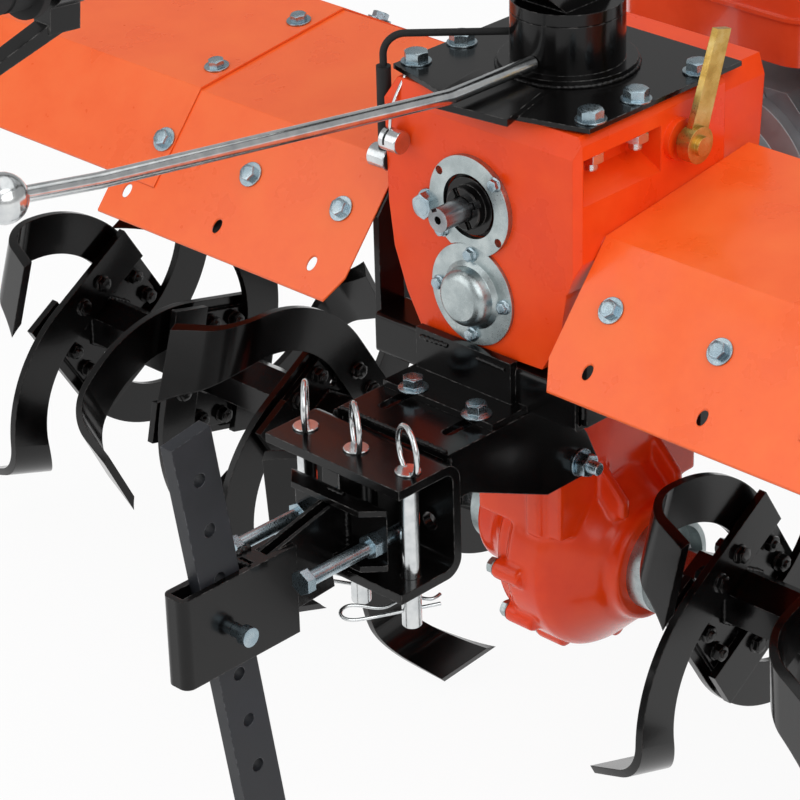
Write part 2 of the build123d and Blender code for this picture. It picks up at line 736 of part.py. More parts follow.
def fender(side):
    """The main fender sheet over the inner tines, its lower corner cut off."""
    line = fender_line(0)
    under = [(y, z - sheet) for y, z in reversed(line)]
    body = prism_x(line + under, fender_inner_x, fender_main_x)
    corner = [(fender_inner_x - 1, fender_lip_y - 1), (fender_inner_x + fender_corner, fender_lip_y - 1),
              (fender_inner_x - 1, fender_lip_y + 1.4 * fender_corner)]
    body -= prism_z(corner, fender_lip_z - 40, fender_lip_z + 60)
    for k in range(3):
        x = fender_bolt_x + k * fender_bolt_pitch
        body -= rod_z(fender_hole_radius, fender_lip_z - 40, fender_ridge_z + 30, x, fender_hole_y)
    lip = block(fender_inner_x, fender_main_x, fender_front_y - sheet, fender_front_y, fender_front_z - 22,
                fender_front_z - 0.5)
    body += lip
    return body if side > 0 else mirror_x(body)


def fender_wing(side):
    """The outer extension sheet that laps over the main fender, with its end plate."""
    gap = sheet + fit_gap
    slope = (fender_ridge_z - fender_lip_z) / (fender_ridge_y - fender_lip_y)
    lip_y = fender_lip_y + 22
    line = fender_line(gap)
    line[0] = (lip_y, fender_lip_z + gap + (lip_y - fender_lip_y) * slope)
    under = [(y, z - sheet) for y, z in reversed(line)]
    body = prism_x(line + under, fender_seam_x, fender_outer_x)
    end = [line[0], line[1], line[2], line[3], (line[3][0], line[3][1] - 34), (line[2][0] - 20,
                                                                               line[2][1] - 74),
           (line[1][0] + 30, line[1][1] - 66)]
    body += prism_x(end, fender_outer_x - sheet, fender_outer_x)
    return body if side > 0 else mirror_x(body)


def fender_bracket(side):
    """The upright strap from the cross bar to the fender, with the angle its bolts go through."""
    gap = sheet + fit_gap
    slope = (fender_ridge_z - fender_lip_z) / (fender_ridge_y - fender_lip_y)
    y0, y1 = case_rear_y + 2, case_rear_y + 30
    top = fender_lip_z - gap - fender_lip_y * slope
    edge = cross_bar_right_x if side > 0 else -cross_bar_left_x
    arm = prism_x([(y0, hitch_top_z + 4), (y1, hitch_top_z + 4), (y1, top + y1 * slope),
                   (y0, top + y0 * slope)],
                  edge, edge + bracket_reach)
    long_x = fender_bolt_x + 2 * fender_bolt_pitch + 14
    rail = prism_x([(y0, top + y0 * slope), (y1 - 2, top + (y1 - 2) * slope),
                    (y1 - 2, top + (y1 - 2) * slope - 5),
                    (y0, top + y0 * slope - 5)], edge, long_x)
    return arm + rail if side > 0 else mirror_x(arm + rail)


# Engine and front frame

def clutch_housing():
    """The bell between the engine and the gearbox, with its bolting flanges."""
    length = engine_rear_y - case_front_y
    r = bell_radius
    profile = make_face(Polyline((0, 0), (r - 12, 0), (r - 12, 10), (r - 24, 18), (r - 16, length - 22),
                                 (r, length - 12), (r, length), (0, length), close=True))
    return Pos(0, case_front_y, crank_z) * revolve(profile, axis=Axis.Y)


def engine_rail(side):
    """A channel that carries the engine ahead of the gearbox."""
    z1 = engine_base_z
    z0 = z1 - rail_height
    x0, x1 = rail_x, rail_x + rail_width
    rail = block(x0, x1, rail_rear_y, rail_front_y, z0, z1)
    rail -= block(x0 - 1, x1 - rail_wall, rail_rear_y - 1, rail_front_y + 1, z0 + rail_wall,
                  z1 - rail_wall)
    rail -= rod_x(stand_pin_radius + 0.1, x0, x1 + 1, stand_pivot_y, z1 - rail_height / 2)
    return rail if side > 0 else mirror_x(rail)


def crankcase():
    """The engine block, its foot on the rails."""
    y0, y1 = engine_rear_y, engine_rear_y + crankcase_length
    w, foot = crankcase_half_width, crankcase_half_width + 12
    body = prism_y([(-foot, engine_base_z), (foot, engine_base_z), (foot, engine_base_z + 12),
                    (w, engine_base_z + 24), (w, crank_z + 50), (50, crank_z + 92), (-60, crank_z + 92),
                    (-w, crank_z + 60), (-w, engine_base_z + 24), (-foot, engine_base_z + 12)], y0, y1)
    for z in (engine_base_z + 50, engine_base_z + 84, engine_base_z + 118):
        for side in (-1, 1):
            x0, x1 = sorted((side * (w - 4), side * (w + 4)))
            body += block(x0, x1, y0 + 12, y1 - 12, z, z + 6)
    return body


def cylinder():
    """The finned cylinder and head, leaning to the right, with the exhaust stub under the muffler."""
    lean = Pos(crankcase_half_width - 6, engine_rear_y + 78, crank_z + 44) * Rot(0, cylinder_lean, 0)
    length = cylinder_length
    body = Pos(0, 0, length / 2) * Box(78, 78, length)
    for k in range(fin_count):
        fin = extrude(RectangleRounded(2 * fin_half_width, 2 * fin_half_width, 12), amount=fin_thickness)
        body += Pos(0, 0, 14 + k * fin_pitch) * fin
    body += extrude(Pos(0, 0, length - 4) * RectangleRounded(92, 92, 16), amount=16)
    stub = rod_z(17, crank_z + 60, crank_z + exhaust_rise, 150, engine_rear_y + 60)
    port = rod_z(20, crank_z + 60, crank_z + exhaust_rise, 134, engine_rear_y + 116)
    return lean * body + stub + port - crankcase()


def blower_housing():
    """The fan shroud at the front, round the recoil starter."""
    y0 = engine_rear_y + crankcase_length
    r, d = blower_radius, blower_depth
    profile = make_face(Polyline((0, 0), (r, 0), (r, d - 20), (r - 6, d - 8), (r - 20, d),
                                 (recoil_radius, d),
                                 (recoil_radius, d + recoil_depth - 6), (recoil_radius - 8,
                                                                         d + recoil_depth),
                                 (0, d + recoil_depth), close=True))
    body = revolve(profile, axis=Axis.Y)
    for k in range(recoil_slots):
        slot = block(-3.5, 3.5, d + recoil_depth - 8, d + recoil_depth + 1, recoil_radius * 0.42,
                     recoil_radius * 0.84)
        body -= Rot(0, k * 360 / recoil_slots, 0) * slot
    return Pos(0, y0, crank_z) * body


def fuel_tank():
    """The fuel tank above the engine, with its seam and filler cap."""
    z0 = crank_z + blower_radius + fit_gap
    x0, y0, h = -150, engine_rear_y + 6, tank_height
    tank = block(x0, x0 + tank_width, y0, y0 + tank_length, z0, z0 + h)
    tank = fillet(tank.edges().filter_by(Axis.Z), radius=34)
    tank = fillet(tank.edges().group_by(Axis.Z)[-1], radius=26)
    seam = block(x0 - 3, x0 + tank_width + 3, y0 - 3, y0 + tank_length + 3, z0 + h / 2 - 2, z0 + h / 2 + 2)
    tank += fillet(seam.edges().filter_by(Axis.Z), radius=36)
    x, y = x0 + tank_width / 2, y0 + tank_length * 0.6
    return tank + rod_z(tank_cap_radius - 5, z0 + h - 4, z0 + h + 8, x, y) + rod_z(
        tank_cap_radius, z0 + h + 6, z0 + h + 24, x, y)


def muffler():
    """The exhaust box over the cylinder head, with its seam and tail pipe."""
    s, y0, z0 = muffler_size, engine_rear_y - 6, crank_z + exhaust_rise
    x0 = 112
    box = block(x0, x0 + 1.24 * s, y0, y0 + s, z0, z0 + 0.9 * s)
    box = fillet(box.edges(), radius=16)
    seam = block(x0 - 4, x0 + 1.24 * s + 4, y0 + s / 2 - 1.5, y0 + s / 2 + 1.5, z0 + 10, z0 + 0.9 * s - 10)
    pipe = rod_x(11, x0 + 1.24 * s - 4, x0 + 1.24 * s + 26, y0 + s * 0.3, z0 + 30)
    pipe -= rod_x(9, x0 + 1.24 * s, x0 + 1.24 * s + 27, y0 + s * 0.3, z0 + 30)
    return box + seam + pipe


def air_filter():
    """The air cleaner box with its cover and wing nut boss."""
    x0, y0, z0 = 96, engine_rear_y + 100, crank_z + exhaust_rise
    box = block(x0, x0 + 110, y0, y0 + 106, z0, z0 + 60)
    box = fillet(box.edges().filter_by(Axis.Z), radius=14)
    cover = block(x0 - 4, x0 + 114, y0 - 4, y0 + 110, z0 + 58, z0 + 90)
    cover = fillet(cover.edges().filter_by(Axis.Z), radius=16)
    cover = fillet(cover.edges().group_by(Axis.Z)[-1], radius=12)
    return box + cover + rod_z(12, z0 + 86, z0 + 96, x0 + 55, y0 + 53)


def front_bumper():
    """The bent tube guard across the front, its ends held inside the rails."""
    y = rail_front_y + bumper_reach - bumper_radius
    z = engine_base_z - rail_height / 2
    x = rail_x + rail_width - rail_wall - bumper_radius - fit_gap
    start = stand_pivot_y + stand_tube_radius + 12
    top, wide = z + bumper_rise, x + 50
    return bent_tube([(-x, start, z), (-x, y, z), (-wide, y, top), (wide, y, top), (x, y, z),
                      (x, start, z)],
                     bumper_radius, 30)


def front_stand():
    """The folding prop under the engine, on a cross tube between the rails."""
    y, z = stand_pivot_y, engine_base_z - rail_height / 2
    web = rail_x + rail_width - rail_wall
    w = rail_x - stand_tube_radius - 6
    stand = rod_x(stand_tube_radius, -web + fit_gap, web - fit_gap, y, z)
    stand += rod_x(stand_pin_radius, -web - rail_wall - 6, web + rail_wall + 6, y, z)
    stand += rod_z(stand_tube_radius, stand_foot - 2, z, -w, y) + rod_z(stand_tube_radius,
                                                                        stand_foot - 2, z, w, y)
    stand += rod_x(stand_tube_radius - 3, -w, w, y, z / 2)
    foot = block(-stand_half_width, stand_half_width, y - 30, y + 30, 0, stand_foot)
    foot = fillet(foot.edges().filter_by(Axis.Z), radius=16)
    return stand + foot


# Handlebars

def handlebar_seat():
    """The plate bolted on the gearbox top, with its turret and gusset flap."""
    z0 = case_top_z
    z1 = z0 + seat_gap + seat_thickness
    outline = [(seat_right_x, seat_rear_y), (seat_right_x, seat_front_y), (seat_left_x, seat_front_y),
               (seat_left_x, seat_rear_y), (seat_x, seat_rear_y - seat_point)]
    plate = prism_z(outline, z0 + seat_gap, z1)
    pads = block(seat_left_x + 20, seat_right_x - 20, seat_rear_y + 30, seat_front_y - 10, z0,
                 z0 + seat_gap + 1)
    turret = rod_z(turret_radius, z1 - 1, z1 + turret_height, seat_x, seat_y)
    turret += rod_z(turret_radius + 10, z1 - 1, z1 + 6, seat_x, seat_y)
    rear = seat_rear_y - seat_point - seat_tongue
    tongue = [(seat_x + 33, seat_y - 66), (seat_x + 51, rear + 10), (seat_x - 24, rear), (seat_x - 36,
                                                                                          seat_y - 66)]
    return plate + pads + turret + prism_z(tongue, z1 - 1, z1 + seat_tongue_thickness)


def handlebar_column():
    """The column that swivels on the turret and leans back to the tilt bolt."""
    z0 = case_top_z + seat_gap + seat_thickness + turret_height + 0.4
    w = column_width / 2
    disc = rod_z(turret_radius, z0, z0 + 10, seat_x, seat_y)
    post = prism_x([(seat_y + 26, z0 + 9), (seat_y - 30, z0 + 9), (tilt_y - 24, tilt_z - 26),
                    (tilt_y - 24, tilt_z + 24),
                    (tilt_y + 20, tilt_z + 24)], seat_x - w, seat_x + w)
    bolt_reach = w + tilt_eye + 14
    bolt = rod_x(tilt_bolt_radius, seat_x - bolt_reach, seat_x + bolt_reach, tilt_y, tilt_z)
    heads = rod_x(tilt_bolt_radius + 6, seat_x + w + tilt_eye + 2, seat_x + bolt_reach, tilt_y, tilt_z)
    heads += rod_x(tilt_bolt_radius + 6, seat_x - bolt_reach, seat_x - w - tilt_eye - 2, tilt_y, tilt_z)
    return disc + post + bolt + heads


def bar_points(side):
    """The bends of one bar, from its tilt eye to its grip end."""
    first = column_width / 2 + fit_gap + tilt_eye / 2
    return [(seat_x + side * first, tilt_y - tilt_eye_radius + 4, tilt_z + 2),
            (seat_x + side * (first + 30), tilt_y - 160, tilt_z + 30),
            (seat_x + side * grip_x, bar_middle_y, grip_z - bar_middle_drop),
            (seat_x + side * grip_x, grip_y, grip_z)]


def handlebars():
    """The bar frame from the tilt bolt to both grips."""
    inner = column_width / 2 + fit_gap
    runs = None
    for side in (-1, 1):
        near, far = sorted((seat_x, seat_x + side * inner))
        x0, x1 = sorted((seat_x + side * inner, seat_x + side * (inner + tilt_eye)))
        tube = bent_tube(bar_points(side), bar_radius, 60)
        tube -= block(near, far, tilt_y - 60, tilt_y + 60, 0, 2000)
        tube -= rod_x(tilt_eye_radius - 4, x0 - 30, x1 + 30, tilt_y, tilt_z)
        tube += rod_x(tilt_eye_radius, x0, x1, tilt_y, tilt_z)
        tube -= rod_x(tilt_bolt_radius + 0.08, x0 - 1, x1 + 1, tilt_y, tilt_z)
        runs = tube if runs is None else runs + tube
    low = bar_points(1)[1]
    high = bar_points(1)[2]
    x, y, z = [start + brace_share * (end - start) for start, end in zip(low, high)]
    return runs + rod_x(brace_radius, 2 * seat_x - x, x, y, z)


def grips():
    """The two rubber grips, each closed over the end of its bar."""
    rise = (bar_middle_drop) / (bar_middle_y - grip_y)
    lean = degrees(atan2(rise, 1))
    both = None
    for side in (-1, 1):
        grip = rod_y(grip_radius, -8, grip_length, 0, 0) - rod_y(bar_radius + 0.05, -0.05,
                                                                 grip_length + 1, 0, 0)
        for k in range(6):
            grip -= rod_y(grip_radius + 1, 12 + 18 * k, 15 + 18 * k, 0, 0) - rod_y(grip_radius - 1, 0,
                                                                                   200, 0, 0)
        grip += rod_y(grip_radius + 6, grip_length - 5, grip_length, 0, 0) - rod_y(grip_radius - 1, 0,
                                                                                   200, 0, 0)
        grip = Pos(seat_x + side * grip_x, grip_y, grip_z) * Rot(-lean, 0, 0) * grip
        both = grip if both is None else both + grip
    return both


def grip_levers():
    """The two hand levers under the grips, each on its clamp."""
    rise = (bar_middle_drop) / (bar_middle_y - grip_y)
    lean = degrees(atan2(rise, 1))
    both = None
    for side in (-1, 1):
        y = grip_length + 12
        clamp = rod_y(bar_radius + 6, y, y + 22, 0, 0) - rod_y(bar_radius + 0.05, y - 1, y + 23, 0, 0)
        clamp += block(-7, 7, y, y + 22, -bar_radius - 20, -bar_radius - 3)
        lever = prism_x([(y + 11, -bar_radius - 10), (y + 11, -bar_radius - 20), (y - 40, -lever_drop - 6),
                         (y + 4 - lever_length, -lever_drop + 8), (y + 4 - lever_length, -lever_drop + 14),
                         (y - 38, -lever_drop + 2)], -6, 6)
        one = Pos(seat_x + side * grip_x, grip_y, grip_z) * Rot(-lean, 0, 0) * (clamp + lever)
        both = one if both is None else both + one
    return both


def pieces():
    """Every sub-part of the machine by its name."""
    made = {}
    for side, word in ((-1, "left"), (1, "right")):
        for index in range(flange_count):
            made[f"tine_set_{word}_{index + 1}"] = tine_set(side, index)
        made[f"tine_hub_{word}"] = hub_tube(side)
        made[f"output_ring_{word}"] = output_ring(side)
        made[f"fender_{word}"] = fender(side)
        made[f"fender_wing_{word}"] = fender_wing(side)
        made[f"fender_bracket_{word}"] = fender_bracket(side)
        made[f"engine_rail_{word}"] = engine_rail(side)
    made["tine_axle"] = tine_axle()
    made["gearbox_case"] = upper_case()
    made["drive_leg"] = drive_leg()
    made["leg_cover"] = leg_cover()
    made["bearing_cap"] = bearing_cap()
    made["pto_plate"] = pto_plate()
    made["pto_nut"] = pto_nut()
    made["pto_shaft"] = pto_shaft()
    made["selector_lever"] = selector_lever()
    made["shift_rod"] = shift_rod()
    made["clutch_cable"] = clutch_cable()
    made["cross_bar"] = cross_bar()
    made["hitch_plate"] = hitch_plate()
    made["hitch_clevis"] = clevis()
    made["hitch_pins"] = hitch_pin(-pin_pitch, 78) + hitch_pin(0, 64) + hitch_pin(pin_pitch, 30)
    made["drag_arm"] = drag_arm()
    made["drag_stake"] = drag_stake()
    made["stake_pin"] = stake_pin()
    made["set_bolts"] = set_bolts()
    made["clutch_housing"] = clutch_housing()
    made["crankcase"] = crankcase()
    made["cylinder"] = cylinder()
    made["blower_housing"] = blower_housing()
    made["fuel_tank"] = fuel_tank()
    made["muffler"] = muffler()
    made["air_filter"] = air_filter()
    made["front_bumper"] = front_bumper()
    made["front_stand"] = front_stand()
    made["handlebar_seat"] = handlebar_seat()
    made["handlebar_column"] = handlebar_column()
    made["handlebars"] = handlebars()
    made["grips"] = grips()
    made["grip_levers"] = grip_levers()
    return made


def machine_middle(made):
    """The middle of the machine's length, from the axle."""
    boxes = [shape.bounding_box() for shape in made.values()]
    return (min(box.min.Y for box in boxes) + max(box.max.Y for box in boxes)) / 2


def main():
    made = pieces()
    middle = machine_middle(made)
    os.makedirs("parts", exist_ok=True)
    for name, shape in made.items():
        solids = (Pos(0, -middle, 0) * shape).solids()
        whole = solids[0] if len(solids) == 1 else Compound(children=list(solids))
        export_step(whole, os.path.join("parts", name + ".step"))
    print(f"{len(made)} sub-parts, tine axle {-middle:.3f} mm ahead of the origin")


main()
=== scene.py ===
import random
from math import cos, pi, radians, sin, sqrt

import bpy
from mathutils import Matrix, Vector


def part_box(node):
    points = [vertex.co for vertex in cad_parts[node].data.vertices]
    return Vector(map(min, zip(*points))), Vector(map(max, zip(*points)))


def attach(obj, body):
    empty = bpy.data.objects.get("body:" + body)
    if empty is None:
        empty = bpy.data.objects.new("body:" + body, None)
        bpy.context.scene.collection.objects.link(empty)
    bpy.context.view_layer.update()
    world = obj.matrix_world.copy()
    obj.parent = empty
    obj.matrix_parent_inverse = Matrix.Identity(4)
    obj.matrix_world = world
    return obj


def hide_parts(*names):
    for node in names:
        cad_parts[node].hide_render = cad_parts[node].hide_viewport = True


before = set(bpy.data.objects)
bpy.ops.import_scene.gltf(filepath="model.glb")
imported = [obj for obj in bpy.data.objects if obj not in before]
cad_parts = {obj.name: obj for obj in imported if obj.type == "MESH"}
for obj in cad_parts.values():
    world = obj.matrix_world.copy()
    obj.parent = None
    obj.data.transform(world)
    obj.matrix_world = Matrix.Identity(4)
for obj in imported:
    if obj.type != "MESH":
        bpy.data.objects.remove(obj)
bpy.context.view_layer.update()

random.seed(41)
bpy.ops.object.select_all(action='DESELECT')

# The tine axle is the place that all the sizes below are measured from, in millimetres
hubLow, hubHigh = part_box("tine_axle")
axle = Vector(((hubLow[0] + hubHigh[0]) / 2, (hubLow[1] + hubHigh[1]) / 2, 0.0))
mm = 0.001  # one millimetre in Blender's metres
nearly = 0.001  # a gap in millimetres that counts as none
facing = 0.9  # how much of a normal lies along the way it faces

rearward, forward = (0, -1, 0), (0, 1, 0)
leftward, rightward = (-1, 0, 0), (1, 0, 0)
downward, upward = (0, 0, -1), (0, 0, 1)
sides = (-1, 1)


def place(x, y, z):
    # millimetres from below the axle to metres in the shared frame
    return Vector((x / 1000, y / 1000, z / 1000)) + axle


def around(radius, angle):
    # where a circle's point lies along and across, from its angle in degrees
    return radius * cos(radians(angle)), radius * sin(radians(angle))


def linear(hexColour):
    # an sRGB hex colour as linear red, green, blue and 1
    parts = [int(hexColour[i:i + 2], 16) / 255 for i in (1, 3, 5)]
    return [c / 12.92 if c <= 0.04045 else ((c + 0.055) / 1.055) ** 2.4 for c in parts] + [1.0]


def addNode(owner, kind, settings=None, inputs=None, links=None):
    # one node of a material or the world, with its settings, its values and its links
    node = owner.node_tree.nodes.new(kind)
    for name, value in (settings or {}).items():
        setattr(node, name, value)
    for name, value in (inputs or {}).items():
        node.inputs[name].default_value = value
    for name, socket in (links or {}).items():
        owner.node_tree.links.new(socket, node.inputs[name])
    return node


def link(owner, output, target):
    owner.node_tree.links.new(output, target)


def newMaterial(name):
    material = bpy.data.materials.new(name)
    material.use_nodes = True
    return material, material.node_tree.nodes["Principled BSDF"]


def ramp(material, source, stops):
    # a colour ramp over a 0..1 pattern, to hex colours or plain values
    node = addNode(material, 'ShaderNodeValToRGB', links={"Fac": source})
    band = node.color_ramp
    while len(band.elements) < len(stops):
        band.elements.new(0.5)
    for element, (spot, colour) in zip(band.elements, stops):
        element.position = spot
        element.color = linear(colour) if isinstance(colour, str) else (colour, colour, colour, 1.0)
    return node


# Sizes of the finishes' patterns in millimetres, and where their colours change
patterns = {"cloud": 55.56, "cloudStops": (0.3, 0.52, 0.75), "drift": 14.286, "driftStops": (0.32, 0.5, 0.68),
            "chip": 6.25, "chipStops": (0.46, 0.62), "glossStops": (0.3, 0.7), "paintGloss": (0.8, 1.25),
            "metalGloss": (0.7, 1.3), "paintEdge": 1.2, "wearGain": 6.0, "coatRoughness": 0.08}


def noise(material, size, vector, **settings):
    # a noise pattern whose grains are about a size in millimetres
    return addNode(material, 'ShaderNodeTexNoise', inputs={"Scale": 1000.0 / size, **settings},
                   links={"Vector": vector})


def softNormal(material, width):
    # a normal that rounds each edge over a width in millimetres
    return addNode(material, 'ShaderNodeBevel', {"samples": 4}, {"Radius": width / 1000})


def wornEdges(material, rounded, chips):
    # 1 in chips on the edges, from how far the rounded normal leaves the true one
    true = addNode(material, 'ShaderNodeNewGeometry')
    dot = addNode(material, 'ShaderNodeVectorMath', {"operation": 'DOT_PRODUCT'},
                  links={0: rounded.outputs["Normal"], 1: true.outputs["Normal"]})
    away = addNode(material, 'ShaderNodeMath', {"operation": 'SUBTRACT'}, {0: 1.0}, {1: dot.outputs["Value"]})
    mask = addNode(material, 'ShaderNodeMath', {"operation": 'MULTIPLY', "use_clamp": True},
                   {1: patterns["wearGain"]}, {0: away.outputs[0]})
    bite = ramp(material, chips.outputs["Fac"], list(zip(patterns["chipStops"], (0.0, 1.0))))
    return addNode(material, 'ShaderNodeMath', {"operation": 'MULTIPLY', "use_clamp": True},
                   links={0: mask.outputs[0], 1: bite.outputs["Color"]})


def surface(material, shader, fine, height, rounded, pattern, shares, roughness):
    # a fine bump over the soft edges, and a gloss that follows a pattern
    bump = addNode(material, 'ShaderNodeBump', inputs={"Strength": 1.0, "Distance": height / 1000},
                   links={"Height": fine.outputs["Fac"]})
    if rounded:
        link(material, rounded.outputs["Normal"], bump.inputs["Normal"])
    link(material, bump.outputs["Normal"], shader.inputs["Normal"])
    values = [roughness * share for share in shares]
    gloss = ramp(material, pattern.outputs["Fac"], list(zip(patterns["glossStops"], values)))
    link(material, gloss.outputs["Color"], shader.inputs["Roughness"])


def paint(name, colours, roughness, grain, grainHeight, wear=None, coat=0.0, metallic=0.0, specular=0.5):
    # enamel, dip paint or a moulded skin: mottled colour, a fine surface, and worn edges where wear is given
    material, shader = newMaterial(name)
    spot = addNode(material, 'ShaderNodeTexCoord').outputs["Object"]
    cloud = noise(material, patterns["cloud"], spot, Detail=4.0, Roughness=0.6)
    colour = ramp(material, cloud.outputs["Fac"], list(zip(patterns["cloudStops"], colours)))
    rounded = softNormal(material, patterns["paintEdge"])
    out = colour.outputs["Color"]
    if wear:
        amount = wornEdges(material, rounded, noise(material, patterns["chip"], spot, Detail=3.0))
        mixed = addNode(material, 'ShaderNodeMix', {"data_type": 'RGBA'}, {7: linear(wear)},
                        {0: amount.outputs[0], 6: out})
        out = mixed.outputs[2]
    link(material, out, shader.inputs["Base Color"])
    fine = noise(material, grain, spot, Detail=2.0)
    surface(material, shader, fine, grainHeight, rounded, cloud, patterns["paintGloss"], roughness)
    shader.inputs["Metallic"].default_value = metallic
    shader.inputs["Specular IOR Level"].default_value = specular
    shader.inputs["Coat Weight"].default_value = coat
    shader.inputs["Coat Roughness"].default_value = patterns["coatRoughness"]
    return material


def metal(name, colours, roughness, grain, stretch=(1, 1, 1), height=0.01, softEdge=0.6):
    # plated or machined steel: its colour drifts and its grain follows the tool
    material, shader = newMaterial(name)
    spot = addNode(material, 'ShaderNodeTexCoord').outputs["Object"]
    drift = noise(material, patterns["drift"], spot, Detail=3.0)
    colour = ramp(material, drift.outputs["Fac"], list(zip(patterns["driftStops"], colours)))
    link(material, colour.outputs["Color"], shader.inputs["Base Color"])
    drawn = addNode(material, 'ShaderNodeMapping', inputs={"Scale": stretch}, links={"Vector": spot})
    fine = noise(material, grain, drawn.outputs["Vector"], Detail=2.0)
    rounded = softNormal(material, softEdge) if softEdge else None
    surface(material, shader, fine, height, rounded, fine, patterns["metalGloss"], roughness)
    shader.inputs["Metallic"].default_value = 1.0
    return material


# Enamel on the sand-cast gearbox: satin orange red, slightly rippled
castEnamel = paint("castOrangeEnamel", ("#EE430E", "#F54A12", "#FA541A"), 0.3, 3.0, 0.02, specular=0.3)
# A thicker, wetter coat of the same on the leg casting: sharper highlights
legEnamel = paint("legOrangeEnamel", ("#EE3D0D", "#F54513", "#FA4E1A"), 0.2, 4.0, 0.02, coat=0.1,
                  specular=0.32)
# Enamel sprayed on flat sheet: brighter and smoother
sheetEnamel = paint("sheetOrangeEnamel", ("#F8601F", "#FD6827", "#FF702E"), 0.3, 6.0, 0.02, coat=0.15)
# Gloss dip paint on cut plate: deep black with light worn edges
blackEnamel = paint("blackGlossEnamel", ("#050405", "#090808", "#0F0E0E"), 0.2, 2.0, 0.02, wear="#6A6866",
                    coat=0.08, specular=0.28)
# The same dip paint on spring steel blades, whose edges wear darker
tineEnamel = paint("tineBlackEnamel", ("#040404", "#070606", "#0C0B0B"), 0.18, 2.5, 0.02, wear="#4A4644",
                   coat=0.08, specular=0.25)
# Mill scale on hot-rolled flat bar, under thin paint: grainy dark grey
stakeScale = paint("darkMillScale", ("#1C1E22", "#24262B", "#303238"), 0.46, 1.6, 0.08, wear="#6E6F73",
                   specular=0.35)
# Shot-blasted die casting: soft grey metal
castAluminium = paint("dieCastAluminium", ("#8C8F92", "#9A9DA0", "#A8ABAD"), 0.42, 1.5, 0.05, metallic=0.9)
# Moulded nylon with a spark-eroded skin: even satin black
blackPlastic = paint("blackMouldedNylon", ("#131314", "#18181A", "#1E1E20"), 0.45, 1.0, 0.03)
# Moulded rubber: matt black, a little grainy
gripRubber = paint("blackGripRubber", ("#0E0E0F", "#131314", "#191919"), 0.7, 1.2, 0.08)
# Heat-proof coat, sprayed dry: dull brownish black
mufflerCoat = paint("heatproofBlackCoat", ("#1A1A1B", "#222223", "#2B2A29"), 0.55, 0.9, 0.05, wear="#5A5550")
# Enamel flowed over the pressed tank: wet, deep gloss
tankEnamel = paint("tankOrangeEnamel", ("#D4421E", "#DE4A25", "#E5532D"), 0.22, 8.0, 0.01, coat=0.6)
# Bright zinc with a blue passivate, on bolts
zincBlue = metal("blueZincPlate", ("#93A6B1", "#A3B5BE", "#B6C4CA"), 0.28, 1.2, height=0.003)
# The same plate on rolled threads, whose crests stay sharp
zincThread = metal("blueZincRolledThread", ("#9DB0BA", "#AFC0C8", "#C0CDD3"), 0.3, 1.2, height=0.002,
                   softEdge=0)
# Barrel-plated zinc on pins, wire and the shift rod: clear bright silver
zincBright = metal("brightZincPlate", ("#C6CACC", "#D5D8D9", "#E0E2E2"), 0.2, 1.5)
# Dull zinc on the pressed cap and ring plate: pale and soft
zincPale = metal("paleZincPressing", ("#A2ACAD", "#B1BBBC", "#C1CACA"), 0.34, 1.0, height=0.005)
# Bare turned shaft steel with a light film of oil: grey, with its grain round the shaft
turnedSteel = metal("turnedSteel", ("#85878A", "#96989B", "#A8AAAC"), 0.26, 0.8, (1, 8, 1), height=0.004)
# Zinc with a yellow passivate on the selector lever: brassy
zincYellow = metal("yellowZincPlate", ("#B08C45", "#C7A45A", "#D3B877"), 0.34, 1.0)
print("materials made")

# Which finish each solid of the frame gets, by the start of its name, with black enamel for the rest
finishes = [
    ("tine_set", tineEnamel), ("tine_axle", turnedSteel), ("output_ring", zincPale),
    ("fender_bracket", blackEnamel), ("fender", sheetEnamel), ("gearbox_case", castEnamel),
    ("drive_leg", legEnamel), ("leg_cover", legEnamel), ("bearing_cap", zincPale), ("pto_plate", zincPale),
    ("pto_nut", blackPlastic), ("pto_shaft", turnedSteel), ("hitch_pins", zincBright),
    ("set_bolts", zincBlue), ("stake_pin", zincBlue), ("drag_stake", stakeScale),
    ("clutch_housing", castAluminium), ("crankcase", castAluminium), ("cylinder", castAluminium),
    ("blower_housing", blackPlastic), ("fuel_tank", tankEnamel), ("muffler", mufflerCoat),
    ("air_filter", blackPlastic), ("selector_lever", zincYellow), ("shift_rod", zincBright),
    ("clutch_cable", gripRubber), ("grips", gripRubber),
]
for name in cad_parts:
    solid = bpy.data.objects.get(name)
    finish = next((material for start, material in finishes if name.startswith(start)), blackEnamel)
    solid.data.materials.clear()
    solid.data.materials.append(finish)


def added(name, data):
    # a new object of the scene from its data
    piece = bpy.data.objects.new(name, data)
    bpy.context.scene.collection.objects.link(piece)
    return piece


# The photograph's camera, from the vanishing lines of the cross bar, hitch plate and fenders
photoCamera = {"spot": (1651.0, -1892.0, 1614.0), "azimuth": 44.69, "elevation": 27.41, "roll": -1.62,
               "lens": 151.5, "sensor": 36.0, "farthest": 50.0}


def addCamera():
    turn, lift, roll = (radians(photoCamera[key]) for key in ("azimuth", "elevation", "roll"))
    ahead = Vector((-sin(turn) * cos(lift), cos(turn) * cos(lift), -sin(lift)))
    right = Vector((cos(turn), sin(turn), 0.0))
    up = Vector((-sin(turn) * sin(lift), cos(turn) * sin(lift), cos(lift)))
    side = cos(roll) * right + sin(roll) * up
    top = cos(roll) * up - sin(roll) * right
    data = bpy.data.cameras.new("photoCamera")
    data.sensor_fit = 'HORIZONTAL'
    data.sensor_width = photoCamera["sensor"]
    data.lens = photoCamera["lens"]
    data.clip_end = photoCamera["farthest"]
    camera = added("photoCamera", data)
    turnBack = Matrix((side, top, -ahead)).transposed().to_4x4()
    camera.matrix_world = Matrix.Translation(place(*photoCamera["spot"])) @ turnBack
    bpy.context.scene.camera = camera


